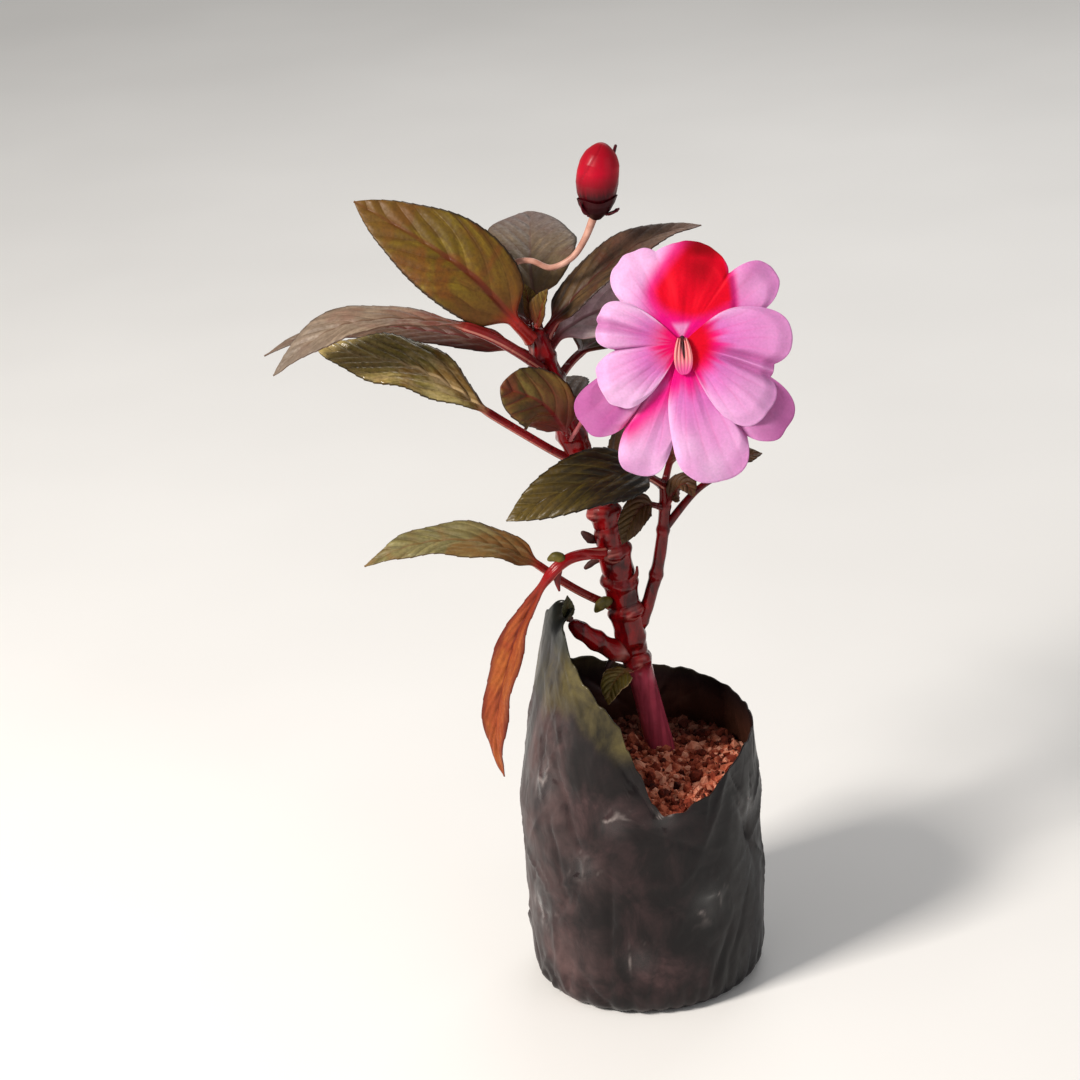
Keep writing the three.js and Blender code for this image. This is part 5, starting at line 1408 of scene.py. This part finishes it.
def folds(points, count, seed, reach, width, height, z_range):
    """Sum of straight folds: height * exp(-|d| / width) * exp(-(distance from the fold's middle / reach)^2)."""
    random = np.random.default_rng(seed)
    total = np.zeros(points.shape[:-1])
    for _ in range(count):
        turn, z = random.uniform(-np.pi, np.pi), random.uniform(*z_range)
        middle = on_wall(turn, BAG_RADIUS, z)
        slope = random.uniform(-1.1, 1.1)
        across = np.array([-np.sin(turn) * np.cos(slope), np.cos(turn) * np.cos(slope), np.sin(slope)])
        away = points - middle
        d = away @ across
        size = random.uniform(0.5, 1.0)
        total += size * random.choice([-1.0, 1.0]) * height * np.exp(-np.abs(d) / (width * size)) * np.exp(
            -((np.linalg.norm(away, axis=-1) / (reach * size)) ** 2))
    return total


print("the film's edge is between", RIM[:, 1].min(), "and", RIM[:, 1].max(), "mm high")

# %% Film wall
degrees = np.linspace(-180, 180, FILM_COLUMNS, endpoint=False)
turn = np.radians(degrees)
rim = rim_height(degrees) + 0.5 * uneven(flat(degrees / 5, 0), 1, 77)
levels = np.concatenate([
    np.linspace(0, FOOT_TOP, FOOT_LEVELS, endpoint=False)[:, None] ** 1.35 / FOOT_TOP**0.35 + 0 * rim,
    np.linspace(FOOT_TOP, BAG_SHOULDER, WALL_LEVELS, endpoint=False)[:, None] + 0 * rim,
    BAG_SHOULDER + (rim - BAG_SHOULDER) * np.linspace(0, 1, FREE_LEVELS)[:, None],
])
radius = wall_radius(degrees, levels)
wall = on_wall(turn, radius, levels)
# the soil's lumps press outwards, as unevenness of three sizes
press = 0.5 * uneven(wall, 15, 1) + 0.35 * (0.5 - np.abs(uneven(wall, 7, 2)))
press = press + 0.14 * (0.5 - np.abs(uneven(wall, 3, 5)))
# long and short folds, and crumpled spots that turn white where the creases are sharpest: stress whitening, and partly
# a painted glint
crease = folds(wall, count=60, seed=11, reach=17, width=1.4, height=1.25, z_range=(4, 90))
crease = crease + folds(wall, count=150, seed=12, reach=8, width=0.7, height=0.7, z_range=(4, 110))
spots = on_wall(np.radians(CRUMPLES[:, 0]), BAG_RADIUS, CRUMPLES[:, 1])
crisp = sum(np.exp(-((np.linalg.norm(wall - spot, axis=-1) / reach) ** 2))
            for spot, reach in zip(spots, CRUMPLES[:, 2]))
pinched = uneven(wall, 4, 14)
crease = crease + crisp * (0.5 - 1.3 * np.abs(pinched))
whitened_and_glint = np.minimum(1, crisp) * np.exp(-((pinched / 0.08) ** 2)) * smoothstep(uneven(wall, 2.6, 19), -0.1, 0.25)
# film with no soil behind it buckles, the foot is gathered in pleats, and the high corner curls inwards
buckle = 1.6 * uneven(wall * [1, 1, 0.45], 17, 6) + 0.5 * (0.5 - np.abs(uneven(wall * [1, 1, 0.5], 8, 9)))
buckle = smoothstep(levels, 66, 78) * buckle
gather = 0.7 * (1 - smoothstep(levels, 2, 20)) * (np.abs(np.sin(turn * 19 + 2 * uneven(wall, 20, 4))) - 0.6)
curl = smoothstep(levels, *CURL_HEIGHTS) * np.exp(-(((degrees - CURL_TOWARDS) / CURL_SPREAD) ** 2))
moved = radius + np.clip(press + crease, -1.7, 1.1) * np.minimum(1, levels / 3) + buckle + gather - 4.5 * curl**1.5
moved = np.minimum(moved, BAG_RADIUS + 1.2)
top = levels - 2.2 * curl**2
outer, inner = on_wall(turn, moved, top), on_wall(turn, moved - FILM_THICKNESS, np.maximum(top, FILM_THICKNESS))
both = lambda x: np.concatenate([x, x[::-1]])
film_marks = {"film": both(flat(rim - levels, levels)), "crisp": both(crisp), "white": both(whitened_and_glint),
              "inside": np.concatenate([0 * levels, 0 * levels + 1])}
bag = make_skin("nursery_bag_skin", np.concatenate([outer, inner[::-1]]), film_marks)
print("film:", len(bag.data.polygons), "faces, highest at", round(float(top.max()), 1), "mm")

# %% [markdown]
# ### The finish of the film
#
# Black polythene is blown film coloured with soot. New it is glossy, and in a nursery it is wiped with soil dust
# that dries to a grey bloom. The eye gets a dark blue-grey with pale smears, a purplish cast that grows towards
# the left, small sharp highlights on the creases, and white lines on the sharpest creases: stress-whitened film,
# and partly painted glints. At the far left the clouds are calmer, and the right is painted nearly black as
# painted shade. Light shines olive-brown through a thin band along the free edge, and through the high corner down
# to a frayed line, but not through its peak.

# %% Film zones
material, tree = start_material("dusty black blown polythene film")
place = add(tree, "TexCoord").outputs["Object"]
x_place = add(tree, "SeparateXYZ", [place]).outputs["X"]
film = add(tree, "SeparateXYZ", [add(tree, "Attribute", attribute_name="film").outputs["Vector"]])
below, height = film.outputs["X"], film.outputs["Y"]
inside, crisp_mark, white_and_glint_mark = (add(tree, "Attribute", attribute_name=mark).outputs["Fac"]
                                  for mark in ("inside", "crisp", "white"))
smear = add(tree, "Mapping", {"Vector": place, "Scale": (1, 1, 0.75), "Rotation": (0.0, 0.35, 0.0)})
dust = add(tree, "TexNoise", {"Vector": smear, "Scale": per_metre(13), "Detail": 6.0, "Roughness": 0.62,
                              "Distortion": 0.4})
cast = add(tree, "TexNoise", {"Vector": place, "Scale": per_metre(24), "Detail": 3.0})

evened = add(tree, "MapRange", [x_place, -26 * MM, -38 * MM, 0.0, 0.6], **EASED)
# painted shade: the film turns nearly black towards the right
painted_shade_right = add(tree, "MapRange", [x_place, -2 * MM, 26 * MM, 0.0, 0.85], **EASED)
leftward = add(tree, "MapRange", [x_place, -6 * MM, -32 * MM], **EASED)
sheltered = add(tree, "MapRange", [x_place, -36 * MM, -27 * MM, 0.2, 0.75], **EASED)
purple = add(tree, "Math", [add(tree, "MapRange", [cast, 0.36, 0.58]), leftward], **TIMES)
purple = add(tree, "Math", [purple, sheltered], **TIMES)

near_rim = add(tree, "MapRange", [below, 17.0, 10.0], **EASED)
at_flap = add(tree, "MapRange", [height, 80.0, 90.0], **EASED)
frayed = add(tree, "Math", [cast, 34.0, height], operation="MULTIPLY_ADD")
frayed = add(tree, "MapRange", [frayed, 110.0, 119.0], **EASED)
below_peak = add(tree, "MapRange", [height, 113.0, 107.0], **EASED)
olive = add(tree, "Math", [add(tree, "Math", [near_rim, at_flap], **TIMES),
                           add(tree, "Math", [frayed, below_peak], **TIMES)], operation="MAXIMUM")
olive = add(tree, "Math", [olive, add(tree, "MapRange", [dust, 0.35, 0.6, 0.6, 1.0])], **TIMES)
peak = add(tree, "MapRange", [height, 109.0, 116.0], **EASED)

soiled = add(tree, "MapRange", [height, 84.0, 64.0], **EASED)
for share in (inside, dust):
    soiled = add(tree, "Math", [soiled, share], **TIMES)
shaded = add(tree, "Math", [inside, 0.4], **TIMES)
# white lines on the sharpest creases: stress whitening, and partly painted glints
white_and_glint_share = add(tree, "Math", [white_and_glint_mark, 0.55], **TIMES)
print("the film's zones take", len(tree.nodes), "nodes")

# %% Film finish
colour = add(tree, "ValToRGB", [dust], stops=[(0.3, "#090607"), (0.46, "#170f10"), (0.6, "#302122"),
                                              (0.8, "#584040")])
bloom = add(tree, "ValToRGB", [dust], stops=[(0.35, "#302426"), (0.65, "#6e5654")])
lit_olive = add(tree, "ValToRGB", [dust], stops=[(0.35, "#221d0c"), (0.65, "#5e5430")])
dark_peak = add(tree, "ValToRGB", [dust], stops=[(0.35, "#060704"), (0.65, "#232419")])
for amount, over in ((evened, "#241a1b"), (purple, bloom), (painted_shade_right, "#08080a"), (olive, lit_olive), (peak, dark_peak),
                     (soiled, "#7a4630"), (shaded, "#0c0c0f"), (white_and_glint_share, "#b4a6a2")):
    colour = add(tree, "Mix", [amount, colour, over], data_type="RGBA")
crinkle = add(tree, "TexVoronoi", {"Vector": smear, "Scale": per_metre(7)}, feature="DISTANCE_TO_EDGE")
edge_line = add(tree, "MapRange", [crinkle.outputs["Distance"], 0.0, 0.14], **EASED)
ripple = add(tree, "TexNoise", {"Vector": smear, "Scale": per_metre(6), "Detail": 3.0, "Distortion": 0.5})
bump = add(tree, "Bump", {"Strength": 0.12, "Distance": 0.3 * MM, "Height": edge_line})
bump = add(tree, "Bump", {"Strength": 0.3, "Distance": 0.4 * MM, "Height": ripple, "Normal": bump})
rough = add(tree, "MapRange", [dust, 0.35, 0.62, 0.28, 0.48])
rough = add(tree, "Mix", {"Factor": add(tree, "Math", [crisp_mark, 0.8], **TIMES), "A": rough, "B": 0.14},
            data_type="FLOAT")
skin = add(tree, "BsdfPrincipled", {
    "Base Color": colour, "Roughness": rough, "IOR": 1.51, "Specular IOR Level": 0.2, "Coat Roughness": 0.12,
    "Coat Weight": add(tree, "Math", [crisp_mark, 0.7, 0.08], operation="MULTIPLY_ADD"), "Normal": bump})
add(tree, "OutputMaterial", [skin])
settle(bag, material, "film", "nursery_bag")
print(material.name + ":", len(tree.nodes), "nodes")

# %% [markdown]
# ## The soil
#
# The soil is red-brown laterite, crumbled by hand: lumps, crumbs and hollows of many sizes. Its body is one
# closed block with an uneven top. Crumbs lie on the top as separate small stones of twenty faces each, because a
# displaced surface alone can't have overhangs, and flat faces catch the light as broken soil does.

# %% Soil block
SOIL_EDGE, SOIL_CROWN, SOIL_RADIUS = 66.0, 3.0, 34.4
SOIL_INSET = 1.6            # mm between the film's smooth wall and the soil, and between the soil's edge and a crumb
SOIL_SIDES, SOIL_RINGS = 240, 90
SOIL_WALL_HEIGHTS = [1.1, 1.8, 4, 7.3, 14, 25, 40, 55]


def soil_height(x, y):
    """Height of the soil: a low crown 3 (1 - (r/R)^2), lumps of 8 mm, clods of 3.4 mm and grain of 1.4 mm."""
    r = np.hypot(x, y) / SOIL_RADIUS
    p = flat(x, y)
    lumps = 1.5 * uneven(p, 8, 51) + 1.44 * (0.5 - np.abs(uneven(p, 3.4, 52))) + 0.45 * uneven(p, 1.4, 53)
    return SOIL_EDGE + SOIL_CROWN * (1 - r**2) + lumps


turn = np.linspace(0, 2 * np.pi, SOIL_SIDES, endpoint=False)
wall_z = np.array(SOIL_WALL_HEIGHTS)[:, None]
wall_rings = on_wall(turn, wall_radius(np.degrees(turn), wall_z) - SOIL_INSET, wall_z)
top_r = SOIL_RADIUS * (1 - np.linspace(0, 1, SOIL_RINGS, endpoint=False)[:, None] ** 0.9)
top_r = np.maximum(top_r, 0.3)
top_rings = on_wall(turn, top_r, soil_height(top_r * np.cos(turn), top_r * np.sin(turn)))
soil_rings = np.concatenate([wall_rings, top_rings])
soil = make_skin("soil_skin", soil_rings, {"tone": 0.5 + 0.5 * uneven(soil_rings, 2.5, 54)})
print("the soil's top is", round(float(soil_rings[..., 2].max()), 1), "mm high")

# %% [markdown]
# ### The finish of the soil
#
# Laterite is clay coloured by iron oxide, the pigment of rust. Its crumbs are orange-brown and matt. Towards the
# back the soil is painted almost black-brown, as painted shade. A tone mark gives each crumb its own tone.

# %% Soil finish
soil_finish, tree = start_material("crumbled laterite soil")
place = add(tree, "TexCoord").outputs["Object"]
tone = add(tree, "Attribute", attribute_name="tone").outputs["Fac"]
grain = add(tree, "TexNoise", {"Vector": place, "Scale": per_metre(1.6), "Detail": 6.0, "Roughness": 0.7})
both = add(tree, "Math", [add(tree, "Math", [tone, grain], operation="ADD"), 0.5], **TIMES)
colour = add(tree, "ValToRGB", [both], stops=[(0.24, "#34110b"), (0.38, "#8a3826"), (0.54, "#c86c4e"),
                                              (0.76, "#f6b092")])
# painted shade: the soil turns almost black-brown towards the back
painted_shade_back = add(tree, "MapRange", [add(tree, "SeparateXYZ", [place]).outputs["Y"], 2 * MM, 20 * MM, 0.0, 0.8], **EASED)
colour = add(tree, "Mix", [painted_shade_back, colour, "#30130e"], data_type="RGBA")
bump = add(tree, "Bump", {"Strength": 0.9, "Distance": 0.5 * MM, "Height": grain})
skin = add(tree, "BsdfPrincipled", {"Base Color": colour, "Roughness": 0.95, "Specular IOR Level": 0.2, "Normal": bump})
add(tree, "OutputMaterial", [skin])
settle(soil, soil_finish, "soil", "soil")
print(soil_finish.name + ":", len(tree.nodes), "nodes")

# %% Crumbs
GOLDEN = (1 + 5**0.5) / 2
ICO_POINTS = unit(np.array([
    [-1, GOLDEN, 0], [1, GOLDEN, 0], [-1, -GOLDEN, 0], [1, -GOLDEN, 0], [0, -1, GOLDEN], [0, 1, GOLDEN],
    [0, -1, -GOLDEN], [0, 1, -GOLDEN], [GOLDEN, 0, -1], [GOLDEN, 0, 1], [-GOLDEN, 0, -1], [-GOLDEN, 0, 1]], float))
ICO_FACES = np.array([
    [0, 11, 5], [0, 5, 1], [0, 1, 7], [0, 7, 10], [0, 10, 11], [1, 5, 9], [5, 11, 4], [11, 10, 2], [10, 7, 6],
    [7, 1, 8], [3, 9, 4], [3, 4, 2], [3, 2, 6], [3, 6, 8], [3, 8, 9], [4, 9, 5], [2, 4, 11], [6, 2, 10], [8, 6, 7],
    [9, 8, 1]])
CRUMBS = 3200
SMALLEST_CRUMB, CRUMB_RANGE = 0.3, 1.9      # mm; the fourth power below makes most of them small
random = np.random.default_rng(2024)
crumb_r = (SOIL_RADIUS - SOIL_INSET) * np.sqrt(random.uniform(0, 1, CRUMBS))
crumb_turn = random.uniform(0, 2 * np.pi, CRUMBS)
crumb_size = SMALLEST_CRUMB + CRUMB_RANGE * random.uniform(0, 1, CRUMBS) ** 4
crumb_x, crumb_y = crumb_r * np.cos(crumb_turn), crumb_r * np.sin(crumb_turn)
crumb_z = soil_height(crumb_x, crumb_y) + crumb_size * random.uniform(-0.15, 0.45, CRUMBS)
stretch = random.uniform(0.6, 1.35, (CRUMBS, 1, 3))
jitter = random.uniform(0.55, 1.25, (CRUMBS, 12, 1))
turns = unit(random.normal(size=(CRUMBS, 4)))
w, i, j, k = (turns[:, n, None] for n in range(4))
local = ICO_POINTS[None] * jitter * stretch * crumb_size[:, None, None]
axis = np.stack([i, j, k], -1)
spun = local + 2 * np.cross(axis, np.cross(axis, local) + w[..., None] * local)
crumb_points = spun + flat(crumb_x, crumb_y, crumb_z)[:, None]
crumb_faces = (ICO_FACES[None] + 12 * np.arange(CRUMBS)[:, None, None]).reshape(-1, 3)
crumb_tone = np.repeat(random.uniform(0, 1, CRUMBS), 12)
crumbs = make_piece("soil_crumbs", crumb_points.reshape(-1, 3), np.zeros((0, 4), int), crumb_faces,
                    {"tone": crumb_tone}, smooth=False)
settle(crumbs, soil_finish, "soil")
print("soil block:", len(soil.data.polygons), "faces; crumbs:", len(crumbs.data.polygons), "faces")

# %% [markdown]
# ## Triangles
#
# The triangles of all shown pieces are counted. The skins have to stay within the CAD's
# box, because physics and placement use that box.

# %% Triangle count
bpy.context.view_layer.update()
triangles = sum(len(p.vertices) - 2 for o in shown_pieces() for p in o.data.polygons)
print("triangles in all:", triangles)
